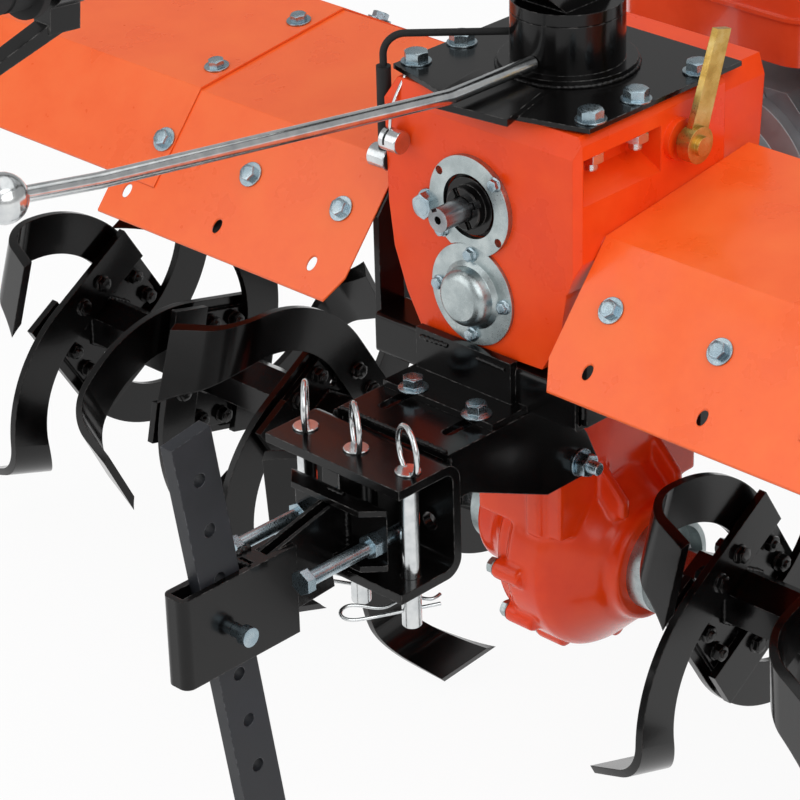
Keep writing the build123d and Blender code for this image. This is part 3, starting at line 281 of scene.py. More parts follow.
# Pale paper under wide soft lamps: places and sizes in metres, power in watts
studio = {"floorSize": 24.0, "floorHeight": -0.0005, "floorColour": "#F4F4F4", "floorRoughness": 0.9,
          "floorGlow": 0.94, "white": "#FFFFFF", "worldStrength": 0.42, "aim": (0.0, -0.1, 0.4),
          "lamps": {"key": ((2.5, -1.1, 2.5), 50.0, 2.8), "fill": ((-1.4, -2.6, 1.9), 34.0, 3.0),
                    "top": ((0.2, 0.6, 3.3), 28.0, 3.4)}}


def addFloor():
    # the floor looks nearly white to the camera and in reflections, and still takes the shadow
    bpy.ops.mesh.primitive_plane_add(size=studio["floorSize"], location=(0, 0, studio["floorHeight"]))
    floor = bpy.context.object
    floor.name = "studioFloor"
    material, shader = newMaterial("paleFloorPaper")
    shader.inputs["Base Color"].default_value = linear(studio["floorColour"])
    shader.inputs["Roughness"].default_value = studio["floorRoughness"]
    path = addNode(material, 'ShaderNodeLightPath')
    glow = addNode(material, 'ShaderNodeEmission', inputs={"Color": linear(studio["white"]), "Strength": 1.0})
    seen = addNode(material, 'ShaderNodeMath', {"operation": 'MAXIMUM'},
                   links={0: path.outputs["Is Camera Ray"], 1: path.outputs["Is Glossy Ray"]})
    part = addNode(material, 'ShaderNodeMath', {"operation": 'MULTIPLY'}, {1: studio["floorGlow"]},
                   {0: seen.outputs[0]})
    mixed = addNode(material, 'ShaderNodeMixShader',
                    links={0: part.outputs[0], 1: shader.outputs[0], 2: glow.outputs[0]})
    link(material, mixed.outputs[0], material.node_tree.nodes["Material Output"].inputs["Surface"])
    floor.data.materials.append(material)


def addStudio():
    addFloor()
    world = bpy.data.worlds.new("studioWorld")
    bpy.context.scene.world = world
    world.use_nodes = True
    back = world.node_tree.nodes["Background"]
    back.inputs["Color"].default_value = linear(studio["white"])
    back.inputs["Strength"].default_value = studio["worldStrength"]
    white = addNode(world, 'ShaderNodeBackground', inputs={"Strength": 1.0})
    path = addNode(world, 'ShaderNodeLightPath')
    mixed = addNode(world, 'ShaderNodeMixShader',
                    links={0: path.outputs["Is Camera Ray"], 1: back.outputs[0], 2: white.outputs[0]})
    link(world, mixed.outputs[0], world.node_tree.nodes["World Output"].inputs["Surface"])
    for name, (spot, power, size) in studio["lamps"].items():
        data = bpy.data.lights.new(name, 'AREA')
        data.energy = power
        data.size = size
        lamp = added(name, data)
        lamp.location = spot
        lamp.rotation_euler = (Vector(studio["aim"]) - Vector(spot)).to_track_quat('-Z', 'Y').to_euler()
    bpy.context.scene.view_settings.view_transform = 'Standard'


addCamera()
addStudio()
print("camera and studio made")


def deselect():
    if bpy.context.object and bpy.context.object.mode == 'EDIT':
        bpy.ops.object.mode_set(mode='OBJECT')
    bpy.ops.object.select_all(action='DESELECT')


def pick(piece):
    # only this piece selected, and active
    deselect()
    piece.select_set(True)
    bpy.context.view_layer.objects.active = piece


def pickFaces(piece, test):
    # edit mode with only the faces whose middle, in millimetres, and normal pass the test
    bpy.ops.object.mode_set(mode='OBJECT')
    for part in (piece.data.vertices, piece.data.edges, piece.data.polygons):
        part.foreach_set("select", [False] * len(part))
    for face in piece.data.polygons:
        face.select = test(face.center / mm, face.normal)
    bpy.ops.object.mode_set(mode='EDIT')
    bpy.ops.mesh.select_mode(type='FACE')


def modify(piece, kind, **settings):
    # one modifier, set and applied
    bpy.context.view_layer.objects.active = piece
    modifier = piece.modifiers.new(kind.title(), kind)
    for name, value in settings.items():
        setattr(modifier, name, value)
    bpy.ops.object.modifier_apply(modifier=modifier.name)


def turned(corners, rings):
    # a round or hexagon bar up +Z from (radius, height) rings, closed at both ends
    deselect()
    first = rings[0]
    bpy.ops.mesh.primitive_circle_add(vertices=corners, radius=first[0] * mm, fill_type='NGON',
                                      location=(0, 0, first[1] * mm))
    piece = bpy.context.object
    bpy.ops.object.transform_apply(location=True)
    bpy.ops.object.mode_set(mode='EDIT')
    for low, high in zip(rings, rings[1:]):
        pickFaces(piece, lambda middle, normal, z=low[1]: (abs(middle.z - z) < nearly
                                                           and abs(normal.z) > facing))
        bpy.ops.mesh.extrude_region_move(TRANSFORM_OT_translate={"value": (0, 0, (high[1] - low[1]) * mm)})
        if abs(high[0] - low[0]) > nearly:
            share = high[0] / low[0]
            bpy.ops.transform.resize(value=(share, share, 1))
    bpy.ops.mesh.select_all(action='SELECT')
    bpy.ops.mesh.normals_make_consistent(inside=False)
    bpy.ops.object.mode_set(mode='OBJECT')
    return piece


def block(low, high):
    # a box between two corners
    deselect()
    middle = [(a + b) / 2 * mm for a, b in zip(low, high)]
    bpy.ops.mesh.primitive_cube_add(size=mm, location=middle)
    piece = bpy.context.object
    piece.scale = [b - a for a, b in zip(low, high)]
    bpy.ops.object.transform_apply(location=True, scale=True)
    return piece


def cut(piece, size, spot, kind='cube'):
    # takes a block or, for a round cutter, a cylinder up +Z out of a piece
    deselect()
    middle = [v * mm for v in spot]
    if kind == 'cube':
        bpy.ops.mesh.primitive_cube_add(size=mm, location=middle)
    else:
        bpy.ops.mesh.primitive_cylinder_add(vertices=48, radius=0.5 * mm, depth=mm, location=middle)
    cutter = bpy.context.object
    cutter.scale = size
    bpy.ops.object.transform_apply(location=True, scale=True)
    modify(piece, 'BOOLEAN', operation='DIFFERENCE', object=cutter, solver='EXACT')
    bpy.data.objects.remove(cutter)


def joined(pieces):
    deselect()
    for piece in pieces:
        piece.select_set(True)
    bpy.context.view_layer.objects.active = pieces[0]
    bpy.ops.object.join()
    return pieces[0]


def lifted(piece, height):
    piece.data.transform(Matrix.Translation((0, 0, height * mm)))
    return piece


sideways = Matrix.Rotation(pi / 2, 4, 'Y')  # turns what is drawn up +Z to lie along +X


def laid(piece, y, z):
    # lays a piece drawn up +Z along +X, through a point in millimetres
    piece.data.transform(Matrix.Translation((0, y * mm, z * mm)) @ sideways)
    return piece


def aim(spot, along, roll=0.0):
    # carries a piece drawn at zero up +Z to a spot in millimetres, its +Z along a direction
    turnBack = Vector(along).normalized().to_track_quat('Z', 'Y').to_matrix().to_4x4()
    return Matrix.Translation(place(*spot)) @ turnBack @ Matrix.Rotation(radians(roll), 4, 'Z')


def finishPiece(piece, name, material, body, smooth=35):
    # a finished piece: at the origin, smoothed up to an angle, and riding on its body
    pick(piece)
    bpy.ops.object.transform_apply(location=True, rotation=True, scale=True)
    bpy.ops.object.shade_smooth_by_angle(angle=radians(smooth))
    piece.name = name
    piece.data.materials.clear()
    piece.data.materials.append(material)
    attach(piece, body)
    return piece


def copied(master, name, spot):
    # a copy with its own mesh, carried to its spot
    data = master.data.copy()
    data.transform(spot)
    return added(name, data)


def copies(master, name, spots, material, body):
    # one piece from many copies of a master
    made = [copied(master, name, spot) for spot in spots]
    return finishPiece(joined(made), name, material, body)


def drop(*masters):
    for master in masters:
        bpy.data.objects.remove(master)


# Shapes that all bolts and nuts share: chamfers in millimetres, and shares of the width across flats
bolts = {"chamfer": 0.475, "chamferSlope": 1.732, "washerEdge": 0.3, "flangeRim": 0.8, "flangeTop": 0.52,
         "ringOuter": 0.38, "ringInner": 0.33, "ringSink": 0.05, "ringRise": 0.18, "nutWasher": 1.8,
         "threadDepth": 0.5, "threadSteps": 20, "pitchShare": 0.25, "threadStart": 0.6, "coreStart": 1.0,
         "tipLength": 0.8, "tipSink": 1.4}


def thread(radius, pitch, low, high, depth=bolts["threadDepth"]):
    # a helical thread up +Z: one triangular tooth carried round by a screw modifier
    deselect()
    bpy.ops.mesh.primitive_circle_add(vertices=3, radius=1.0, location=((radius - depth) * mm, 0, low * mm),
                                      rotation=(pi / 2, 0, 0))
    tooth = bpy.context.object
    bpy.ops.object.mode_set(mode='EDIT')
    bpy.ops.mesh.select_all(action='SELECT')
    bpy.ops.transform.rotate(value=pi / 2, orient_axis='Y', center_override=tooth.location)
    bpy.ops.object.mode_set(mode='OBJECT')
    bpy.ops.object.transform_apply(location=False, rotation=True, scale=True)
    reach = max(abs(v.co.x) for v in tooth.data.vertices)
    tooth.data.transform(Matrix.Diagonal((depth / reach * mm, mm, pitch / sqrt(3) * mm, 1)))
    bpy.ops.object.transform_apply(location=True)
    modify(tooth, 'SCREW', axis='Z', angle=2 * pi, iterations=max(1, int((high - low) / pitch)),
           steps=bolts["threadSteps"], render_steps=bolts["threadSteps"], screw_offset=pitch * mm,
           use_merge_vertices=True, merge_threshold=0.00001)
    return tooth


def hexHead(flats, height, both=False):
    # a hexagon with its corners cut by a cone, as a bolt head or, cut at both ends, a nut
    corner = flats / sqrt(3)
    head = turned(6, [(corner, 0.0), (corner, height)])
    reach = bolts["chamfer"] * flats
    for turnOver in ((0.0, pi) if both else (0.0,)):
        deselect()
        bpy.ops.mesh.primitive_cone_add(vertices=48, radius1=(reach + bolts["chamferSlope"] * height) * mm,
                                        radius2=reach * mm, depth=height * mm,
                                        location=(0, 0, height / 2 * mm), rotation=(turnOver, 0, 0))
        cone = bpy.context.object
        modify(head, 'BOOLEAN', operation='INTERSECT', object=cone, solver='EXACT')
        bpy.data.objects.remove(cone)
    return head


def washerDisc(radius, thick):
    edge = bolts["washerEdge"]
    return turned(40, [(radius - edge, 0.0), (radius, edge), (radius, thick - edge), (radius - edge, thick)])


def boltHead(flats, height, washer=0.0, thick=0.0, flange=0.0):
    # a bolt head on its seat at zero, with a washer or a flange under it and a raised ring on top
    parts = []
    if washer:
        parts.append(washerDisc(washer, thick))
    if flange:
        rim = bolts["flangeRim"]
        parts.append(turned(40, [(flange, 0.0), (flange, rim), (flats * bolts["flangeTop"], thick + rim)]))
    parts.append(lifted(hexHead(flats, height), thick))
    outer, inner, top = flats * bolts["ringOuter"], flats * bolts["ringInner"], thick + height
    parts.append(turned(32, [(outer, top - bolts["ringSink"]), (outer, top + bolts["ringRise"]),
                             (inner, top + bolts["ringRise"])]))
    return joined(parts)


def nutEnd(flats, height, washer, radius, reach):
    # a washer, a nut and the bolt's thread standing out of it
    ring = washerDisc(washer, bolts["nutWasher"])
    nut = lifted(hexHead(flats, height, both=True), bolts["nutWasher"])
    top = bolts["nutWasher"] + height
    root, end = radius - bolts["threadDepth"], top + reach - bolts["tipLength"]
    tip = radius - bolts["tipSink"]
    core = turned(24, [(root, top - bolts["coreStart"]), (root, end), (tip, top + reach)])
    turns = thread(radius, radius * bolts["pitchShare"], top - bolts["threadStart"], end)
    return joined([ring, nut, core, turns])


def swept(name, kind, spots, radius, roundness, swell=None):
    # a round rod along spots in millimetres, 'NURBS' for a smooth run and 'POLY' for a straight one
    curve = bpy.data.curves.new(name, 'CURVE')
    curve.dimensions = '3D'
    curve.bevel_depth = radius * mm
    curve.bevel_resolution = roundness
    curve.use_fill_caps = True
    spline = curve.splines.new(kind)
    spline.points.add(len(spots) - 1)
    for index, (point, spot) in enumerate(zip(spline.points, spots)):
        point.co = (*place(*spot), 1.0)
        if swell:
            point.radius = swell(index)
    if kind == 'NURBS':
        spline.order_u = 3
        spline.use_endpoint_u = True
        spline.resolution_u = 6
    pick(added(name, curve))
    bpy.ops.object.convert(target='MESH')
    return bpy.context.object


def wire(name, points, radius, material, body):
    return finishPiece(swept(name, 'NURBS', points, radius, 4), name, material, body, 60)


# Weld beads, in millimetres: how often they swell, by what share, and the ripple over them
weld = {"step": 1.6, "thin": 0.86, "swell": 0.2, "scatter": 0.1, "rippleSize": 4.5, "rippleHeight": 1.1}
ripple = bpy.data.textures.new("weldRipple", 'CLOUDS')
ripple.noise_scale = weld["rippleSize"] * mm
ripple.noise_depth = 1


def beadSwell(index):
    return weld["thin"] + weld["swell"] * (index % 3) + random.uniform(-weld["scatter"], weld["scatter"])


def bead(name, runs, radius, body):
    # weld beads under the paint: round runs between points, swelled and rippled
    parts = []
    for run in runs:
        spots = []
        for start, end in zip(run, run[1:]):
            start, end = Vector(start), Vector(end)
            count = max(2, int((end - start).length / weld["step"]))
            spots += [start.lerp(end, index / count) for index in range(count)]
        spots.append(Vector(run[-1]))
        parts.append(swept(name, 'POLY', spots, radius, 3, beadSwell))
    piece = joined(parts)
    modify(piece, 'DISPLACE', texture=ripple, strength=weld["rippleHeight"] * mm, mid_level=0.5,
           texture_coords='LOCAL')
    return finishPiece(piece, name, blackEnamel, body, 180)


# Bolts of the gearbox: six small ones on the ring plate and cap, the oil plug, the seat's six, two ear nuts.
# Every bolt has stopped at its own turn, so each row starts at one angle and goes on by another
gear = {"plateY": -141.0, "plateBolts": ((29.0, 562.0, 20), (-28.0, 507.5, 50)), "capY": -139.0,
        "capZ": 458.0, "capRing": 35.0, "capWays": ((0, 1), (1, 0), (0, -1), (-1, 0)), "capTurns": (13, 31),
        "smallBolt": {"flats": 9.0, "height": 4.2, "flange": 6.2, "thick": 1.0},
        "plugSpot": (-46.0, -136.0, 523.0), "plugTurn": 11,
        "plug": {"flats": 19.0, "height": 9.0, "washer": 12.5, "thick": 2.0},
        "seatX": (97.5, -85.5), "seatY": (-107.5, -54.5, 20.0), "seatTop": 624.0, "seatTurn": 17,
        "seatBolt": {"flats": 18.0, "height": 8.0, "washer": 12.5, "thick": 1.8},
        "earUnder": 600.0, "earTurn": 9,
        "earNut": {"flats": 18.0, "height": 8.0, "washer": 11.0, "radius": 6.0, "reach": 7.0}}
smallBolt = boltHead(**gear["smallBolt"])
spots = [aim((x, gear["plateY"], z), rearward, turn) for x, z, turn in gear["plateBolts"]]
firstTurn, nextTurn = gear["capTurns"]
for index, (across, rise) in enumerate(gear["capWays"]):
    x, z = across * gear["capRing"], gear["capZ"] + rise * gear["capRing"]
    spots.append(aim((x, gear["capY"], z), rearward, firstTurn + nextTurn * index))
copies(smallBolt, "gearboxSmallBolts", spots, zincBlue, "chassis")
plug = boltHead(**gear["plug"])
copies(plug, "oilPlug", [aim(gear["plugSpot"], rearward, gear["plugTurn"])], zincBlue, "chassis")
seatBolt = boltHead(**gear["seatBolt"])
seatSpots = [(x, y) for x in gear["seatX"] for y in gear["seatY"]]
spots = [aim((x, y, gear["seatTop"]), upward, gear["seatTurn"] * k) for k, (x, y) in enumerate(seatSpots)]
copies(seatBolt, "seatBolts", spots, zincBlue, "chassis")
earNut = nutEnd(**gear["earNut"])
spots = [aim((x, y, gear["earUnder"]), downward, gear["earTurn"]) for x, y in seatSpots[:2]]
copies(earNut, "earNuts", spots, zincBright, "chassis")
drop(smallBolt, plug, seatBolt, earNut)

# Fender bolts with wide washers, square to each sheet's slope, which runs between side points (y, z)
fenders = {"row": 3, "firstX": 145.0, "pitch": 106.5, "boltY": -138.0, "lip": (-186.0, 432.0),
           "ridge": (-104.0, 530.0), "crest": (70.0, 552.0), "front": (200.0, 480.0),
           "lap": 2.3, "lapX": 362.0,
           "lapBolts": (("ridge", "crest", -70), ("ridge", "crest", 30), ("crest", "front", 130)),
           "turns": (9, 23), "bolt": {"flats": 13.0, "height": 5.6, "washer": 11.0, "thick": 1.8}}


def slopeSpot(low, high, y, lift):
    # the height and outward normal of a sheet between two side points
    run, rise = high[0] - low[0], high[1] - low[1]
    z = low[1] + (y - low[0]) * rise / run + lift
    return z, (0, -rise, run)


fenderBolt = boltHead(**fenders["bolt"])
firstTurn, nextTurn = fenders["turns"]
spots = []
for side in sides:
    for index in range(fenders["row"]):
        lift = fenders["lap"] * (index == fenders["row"] - 1)  # the last one also holds the wing
        z, normal = slopeSpot(fenders["lip"], fenders["ridge"], fenders["boltY"], lift)
        x = side * (fenders["firstX"] + index * fenders["pitch"])
        spots.append(aim((x, fenders["boltY"], z), normal, nextTurn * index + firstTurn))
    for low, high, y in fenders["lapBolts"]:
        z, normal = slopeSpot(fenders[low], fenders[high], y, fenders["lap"])
        spots.append(aim((side * fenders["lapX"], y, z), normal, y))
copies(fenderBolt, "fenderBolts", spots, zincBlue, "chassis")
drop(fenderBolt)

# Hitch: flange bolts on the flap, their nuts under the plate, and the tie bolt through the leg
hitch = {"flapX": (-31, 38), "flapY": -176, "flapTop": 379, "flapUnder": 367, "flapTurn": 15, "nutTurn": 5,
         "flapBolt": {"flats": 16.0, "height": 8.0, "flange": 12.5, "thick": 2.0},
         "flapNut": {"flats": 16.0, "height": 8.0, "washer": 10.5, "radius": 5.0, "reach": 6.0},
         "tieX": 61, "tieY": -78, "tieZ": 304, "tieNutTurn": 8, "tieHeadTurn": 20,
         "tieNut": {"flats": 18.0, "height": 10.0, "washer": 12.0, "radius": 6.0, "reach": 9.0},
         "tieHead": {"flats": 18.0, "height": 7.5, "washer": 12.0, "thick": 1.8}}
flapBolt = boltHead(**hitch["flapBolt"])
spots = [aim((x, hitch["flapY"], hitch["flapTop"]), upward, hitch["flapTurn"] + x) for x in hitch["flapX"]]
copies(flapBolt, "flapBolts", spots, zincBlue, "chassis")
flapNut = nutEnd(**hitch["flapNut"])
spots = [aim((x, hitch["flapY"], hitch["flapUnder"]), downward, hitch["nutTurn"]) for x in hitch["flapX"]]
copies(flapNut, "flapNuts", spots, zincBlue, "chassis")
tieNut = nutEnd(**hitch["tieNut"])
tieHead = boltHead(**hitch["tieHead"])
rightEnd = aim((hitch["tieX"], hitch["tieY"], hitch["tieZ"]), rightward, hitch["tieNutTurn"])
leftEnd = aim((-hitch["tieX"], hitch["tieY"], hitch["tieZ"]), leftward, hitch["tieHeadTurn"])
copies(tieNut, "tieNut", [rightEnd], zincBlue, "chassis")
copies(tieHead, "tieHead", [leftEnd], zincBlue, "chassis")
drop(flapBolt, flapNut, tieNut, tieHead)

# Set bolt threads, drawn a little coarser than M12 so that they show
setBolts = {"x": (-39, 39), "y": -368, "z": 312, "radius": 6.5, "pitch": 2.4, "length": 112.0, "depth": 0.85}
turns = thread(setBolts["radius"], setBolts["pitch"], 0.0, setBolts["length"], setBolts["depth"])
spots = [aim((x, setBolts["y"], setBolts["z"]), forward) for x in setBolts["x"]]
copies(turns, "setBoltThreads", spots, zincThread, "hitch_arm")
drop(turns)
print("bolts made")

# Tine bolts: two through each blade, the head on the blade and the nut on the flange's other face.
# Flanges step round the axle by "step" degrees, and every other one is turned about
tines = {"flanges": 4, "blades": 4, "firstX": 166.0, "pitch": 150.0, "axleZ": 185.0, "phase": 77.0,
         "step": 22.5,
         "steps": {-1: (-1, -2, 0, -2), 1: (-2, -1, -2, 0)}, "turned": (0, 0, 1, 1),
         "offset": 47.56, "along": 15.0, "flange": 3.0, "blade": 10.0, "headTurn": 37, "nutTurn": 21,
         "head": {"flats": 13.0, "height": 5.3, "flange": 8.4, "thick": 1.0},
         "nut": {"flats": 13.0, "height": 6.5, "washer": 8.2, "radius": 4.0, "reach": 2.5},
         "weldFlats": 47.0, "weldSide": 4.2, "weldRadius": 2.0}
tineHead = boltHead(**tines["head"])
tineNut = nutEnd(**tines["nut"])
heads, nuts = [], []
for side in sides:
    for index in range(tines["flanges"]):
        phase = tines["phase"] + tines["steps"][side][index] * tines["step"]
        x = side * (tines["firstX"] + index * tines["pitch"])
        for blade in range(tines["blades"]):
            inward = (blade + tines["turned"][index]) % 2 == 0
            out = 1 if (side > 0) == inward else -1
            spin = Matrix.Rotation(radians(phase + 360 / tines["blades"] * blade), 3, 'X')
            for along in (-tines["along"], tines["along"]):
                spot = spin @ Vector((0, along, -tines["offset"]))
                y, z = spot.y, spot.z + tines["axleZ"]
                headTurn, nutTurn = tines["headTurn"] * blade + along, tines["nutTurn"] * blade - along
                heads.append(aim((x + out * tines["blade"], y, z), (out, 0, 0), headTurn))
                nuts.append(aim((x - out * tines["flange"], y, z), (-out, 0, 0), nutTurn))
copies(tineHead, "tineBoltHeads", heads, tineEnamel, "rotor")
copies(tineNut, "tineBoltNuts", nuts, tineEnamel, "rotor")
drop(tineHead, tineNut)


def hexRing(x, flats, height):
    # the corners of a hexagon round the axle, first corner repeated
    corner = flats / sqrt(3)
    angles = [radians(angle) for angle in range(0, 361, 60)]
    return [(x, corner * sin(angle), height + corner * cos(angle)) for angle in angles]


for side, word in zip(sides, ("left", "right")):
    runs = []
    for index in range(tines["flanges"]):
        x = side * (tines["firstX"] + index * tines["pitch"])
        runs += [hexRing(x + face * tines["weldSide"], tines["weldFlats"], tines["axleZ"]) for face in sides]
    bead("hubWelds_" + word, runs, tines["weldRadius"], "rotor")
print("tines bolted")

# Welds of the hitch: clevis to plate, flap and saddle to bar, sleeve and arm to yoke, strap to arm
hitchWelds = {"radius": 1.9, "runs": [
    [(-58, -232, 374), (58, -232, 374)], [(-62, -233, 371), (-62, -233, 345)],
    [(62, -233, 371), (62, -233, 345)], [(-50, -147, 408), (-20, -147, 409)],
    [(12, -147, 409), (42, -147, 408)], [(113, -134, 384), (113, -134, 404)],
    [(-109, -134, 384), (-109, -134, 404)]]}
armWelds = {"radius": 2.2, "runs": [
    [(-9, -297, 345), (9, -297, 345)], [(8, -294, 341), (8, -294, 300)], [(-8, -294, 341), (-8, -294, 300)],
    [(-8, -399, 325), (8, -399, 325)], [(-12, -394, 326), (-12, -380, 327)]]}
bead("hitchWelds", hitchWelds["runs"], hitchWelds["radius"], "chassis")
bead("armWelds", armWelds["runs"], armWelds["radius"], "hitch_arm")

# The three loose pins of the hitch: chamfered bars with a collar, each with a lift ring through its top
pins = {"x": (-56.0, 0.0, 56.0), "y": -273.0, "low": 236.0, "top": 376.0, "radius": 8.0,
        "tip": (6.8, 1.2), "collar": ((8.0, 3.01), (10.5, 2.8), (10.5, 1.6), (9.8, 1.0)),  # radius, depth
        "ringZ": 391.5, "ring": 18.6, "ringWire": 2.3, "ringTall": 1.06, "ringTurn": (-47.0, -36.0, -24.0),
        "clipZ": 250.0, "clipTurn": (243.0, 205.0, 243.0), "clipWire": 1.5, "clipTilt": 0.35,
        # along and across: the straight leg, the round bow and the waved leg round the pin
        "clip": [(24, 0), (-20, 0), (-40, 0), (-48, 0.5), (-54, 3), (-57, 8), (-54, 13), (-47, 15.5),
                 (-38, 13), (-28, 8), (-19, 6.5), (-10, 10), (0, 12), (9, 10), (16, 6), (22, 6), (27, 9)]}
tipRadius, tipHeight = pins["tip"]
pin = turned(40, [(tipRadius, pins["low"]), (pins["radius"], pins["low"] + tipHeight)]
             + [(radius, pins["top"] - depth) for radius, depth in pins["collar"]])
deselect()
bpy.ops.mesh.primitive_torus_add(major_radius=pins["ring"] * mm, minor_radius=pins["ringWire"] * mm,
                                 major_segments=48, minor_segments=12, rotation=(pi / 2, 0, 0))
ring = bpy.context.object
bpy.ops.object.mode_set(mode='EDIT')
bpy.ops.mesh.select_all(action='SELECT')
bpy.ops.transform.resize(value=(1.0, 1.0, pins["ringTall"]))
bpy.ops.object.mode_set(mode='OBJECT')
bpy.ops.object.transform_apply(location=True, rotation=True, scale=True)
made = []
for x, turn in zip(pins["x"], pins["ringTurn"]):
    for master, height, spin in ((pin, 0.0, 0.0), (ring, pins["ringZ"], turn)):
        spot = Matrix.Translation(place(x, pins["y"], height)) @ Matrix.Rotation(radians(spin), 4, 'Z')
        made.append(copied(master, "hitchPin", spot))
finishPiece(joined(made), "hitchPinsAndRings", zincBright, "chassis")
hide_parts("hitch_pins")
drop(pin, ring)

# Spring clips through the pins' lower ends
for x, turn, word in zip(pins["x"], pins["clipTurn"], ("left", "middle", "right")):
    along = Vector((cos(radians(turn)), sin(radians(turn)), 0.0))
    across = Vector((along.y, -along.x, pins["clipTilt"]))
    start = Vector((x, pins["y"], pins["clipZ"]))
    points = [start - u * along + v * across for u, v in pins["clip"]]
    wire("springClip_" + word, points, pins["clipWire"], zincBright, "chassis")

# The leg casting: a flared drum with its neck, ribs, pads and short bosses, run together as one sand casting
leg = {"axleZ": 185.0, "top": 409.0, "voxel": 1.9, "smoothing": 9, "bore": (52.0, 52.0, 200.0),
       # radius and place along the axle
       "drum": [(51, -80), (54, -77), (54, -62), (58, -50), (70, -38), (85, -26), (88, -23), (88, -12),
                (92, -10), (95.5, -4), (95.5, 26), (91, 33), (82, 42), (70, 54), (61, 64), (55, 69), (54, 72),
                (54, 77), (51.5, 80)],
       "neckX": (-46.0, 46.0), "neckY": (-86, 88), "flangeX": (12, 28), "flangeY": (-92, 94), "neckLow": 225,
       "finY": (-34, 34), "finHalf": 5, "finReach": 74, "finLow": 236, "finKnee": 252,
       "tieY": -78.0, "tieZ": 304.0, "tieRadius": 15.7, "tieHalf": 56.0,
       "padX": (30.0, 89.5), "padY": (56.0, 88.0), "padZ": (292.5, 337.5),
       "bossTurns": (182, 214, 246, 278, 310), "bossRing": 94.0, "bossLow": -18.0, "bossEdge": 8.5,
       "bossRadius": 9.5, "bossHigh": 12, "lastBossHigh": 26, "boltSeat": 0.4,
       "bolt": {"flats": 13.0, "height": 6.0, "flange": 8.2, "thick": 1.2}}


def bossSpot(turn):
    # where a boss stands round the drum
    along, rise = around(leg["bossRing"], turn)
    return along, leg["axleZ"] + rise


parts = [laid(turned(96, leg["drum"]), 0.0, leg["axleZ"])]
for (x0, x1), (y0, y1) in ((leg["neckX"], leg["neckY"]), (leg["flangeX"], leg["flangeY"])):
    parts.append(block((x0, y0, leg["neckLow"]), (x1, y1, leg["top"])))
for y in leg["finY"]:
    # the fin slopes from its knee to the neck's top corner
    fin = block((leg["flangeX"][0], y - leg["finHalf"], leg["finLow"]),
                (leg["finReach"], y + leg["finHalf"], leg["top"]))
    bpy.ops.object.mode_set(mode='EDIT')
    bpy.ops.mesh.select_all(action='SELECT')
    slope = (leg["top"] - leg["finKnee"], 0, leg["finReach"] - leg["neckX"][1])
    bpy.ops.mesh.bisect(plane_co=(leg["finReach"] * mm, 0, leg["finKnee"] * mm), plane_no=slope,
                        clear_outer=True, use_fill=True)
    bpy.ops.object.mode_set(mode='OBJECT')
    parts.append(fin)
tie = turned(32, [(leg["tieRadius"], -leg["tieHalf"]), (leg["tieRadius"], leg["tieHalf"])])
parts.append(laid(tie, leg["tieY"], leg["tieZ"]))
for side in sides:
    x0, x1 = sorted(side * v for v in leg["padX"])
    parts.append(block((x0, leg["padY"][0], leg["padZ"][0]), (x1, leg["padY"][1], leg["padZ"][1])))
for turn in leg["bossTurns"]:
    high = leg["lastBossHigh"] if turn > 270 else leg["bossHigh"]
    lug = turned(24, [(leg["bossEdge"], leg["bossLow"]), (leg["bossRadius"], leg["bossLow"] + 1),
                      (leg["bossRadius"], high)])
    parts.append(laid(lug, *bossSpot(turn)))
casting = joined(parts)
modify(casting, 'REMESH', mode='VOXEL', voxel_size=leg["voxel"] * mm, adaptivity=0.0)
modify(casting, 'SMOOTH', factor=0.5, iterations=leg["smoothing"])
# stood up for the bore, then laid in its place
casting.data.transform(Matrix.Rotation(-pi / 2, 4, 'Y') @ Matrix.Translation((0, 0, -leg["axleZ"] * mm)))
cut(casting, leg["bore"], (0.0, 0.0, 0.0), 'round')
casting.data.transform(Matrix.Translation(place(0, 0, leg["axleZ"])) @ sideways)
finishPiece(casting, "legCasting", legEnamel, "chassis", 180)
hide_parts("drive_leg", "leg_cover")
legBolt = boltHead(**leg["bolt"])
seat = leg["bossLow"] + leg["boltSeat"]
spots = [aim((seat, *bossSpot(turn)), leftward, turn) for turn in leg["bossTurns"]]
copies(legBolt, "legBolts", spots, zincPale, "chassis")
drop(legBolt)
print("leg cast")

# Cable fittings at the gearbox's left corner: a slotted barrel on its stub, a drilled clamp, the inner wire
cable = {"barrelSpot": (-84.5, -146.0, 572.0), "barrel": [(7.6, 0.0), (9.5, 1.2), (9.5, 18.4), (8.9, 19.0)],
         "slot": (24.0, 14.0, 2.2), "slotSpot": (0.0, 5.0, 6.8),
         "stubSpot": (-74.0, -145.0, 572.0), "stub": [(5.0, 0.0), (5.0, 9.0)],
         "clampSpot": (-113.0, -130.0, 545.0), "clamp": [(9.4, 0.0), (10.0, 0.6), (10.0, 18.4), (9.4, 19.0)],
         "clampBore": (9.0, 9.0, 16.0), "wireRadius": 1.5,
         "wire": [(-79, -146, 570), (-79, -146, 586), (-80, -141, 600), (-81, -130, 613), (-81, -124, 620)]}
barrel = turned(40, cable["barrel"])
cut(barrel, cable["slot"], cable["slotSpot"])
barrel.data.transform(aim(cable["barrelSpot"], rightward))
stub = turned(24, cable["stub"])
stub.data.transform(aim(cable["stubSpot"], forward))
finishPiece(joined([barrel, stub]), "barrelScrew", zincBright, "chassis", 30)
clamp = turned(40, cable["clamp"])
cut(clamp, cable["clampBore"], (0.0, 0.0, 0.0), 'round')
clamp.data.transform(aim(cable["clampSpot"], rightward))
finishPiece(clamp, "cableClamp", zincBright, "chassis", 30)
wire("innerWire", cable["wire"], cable["wireRadius"], zincBright, "chassis")

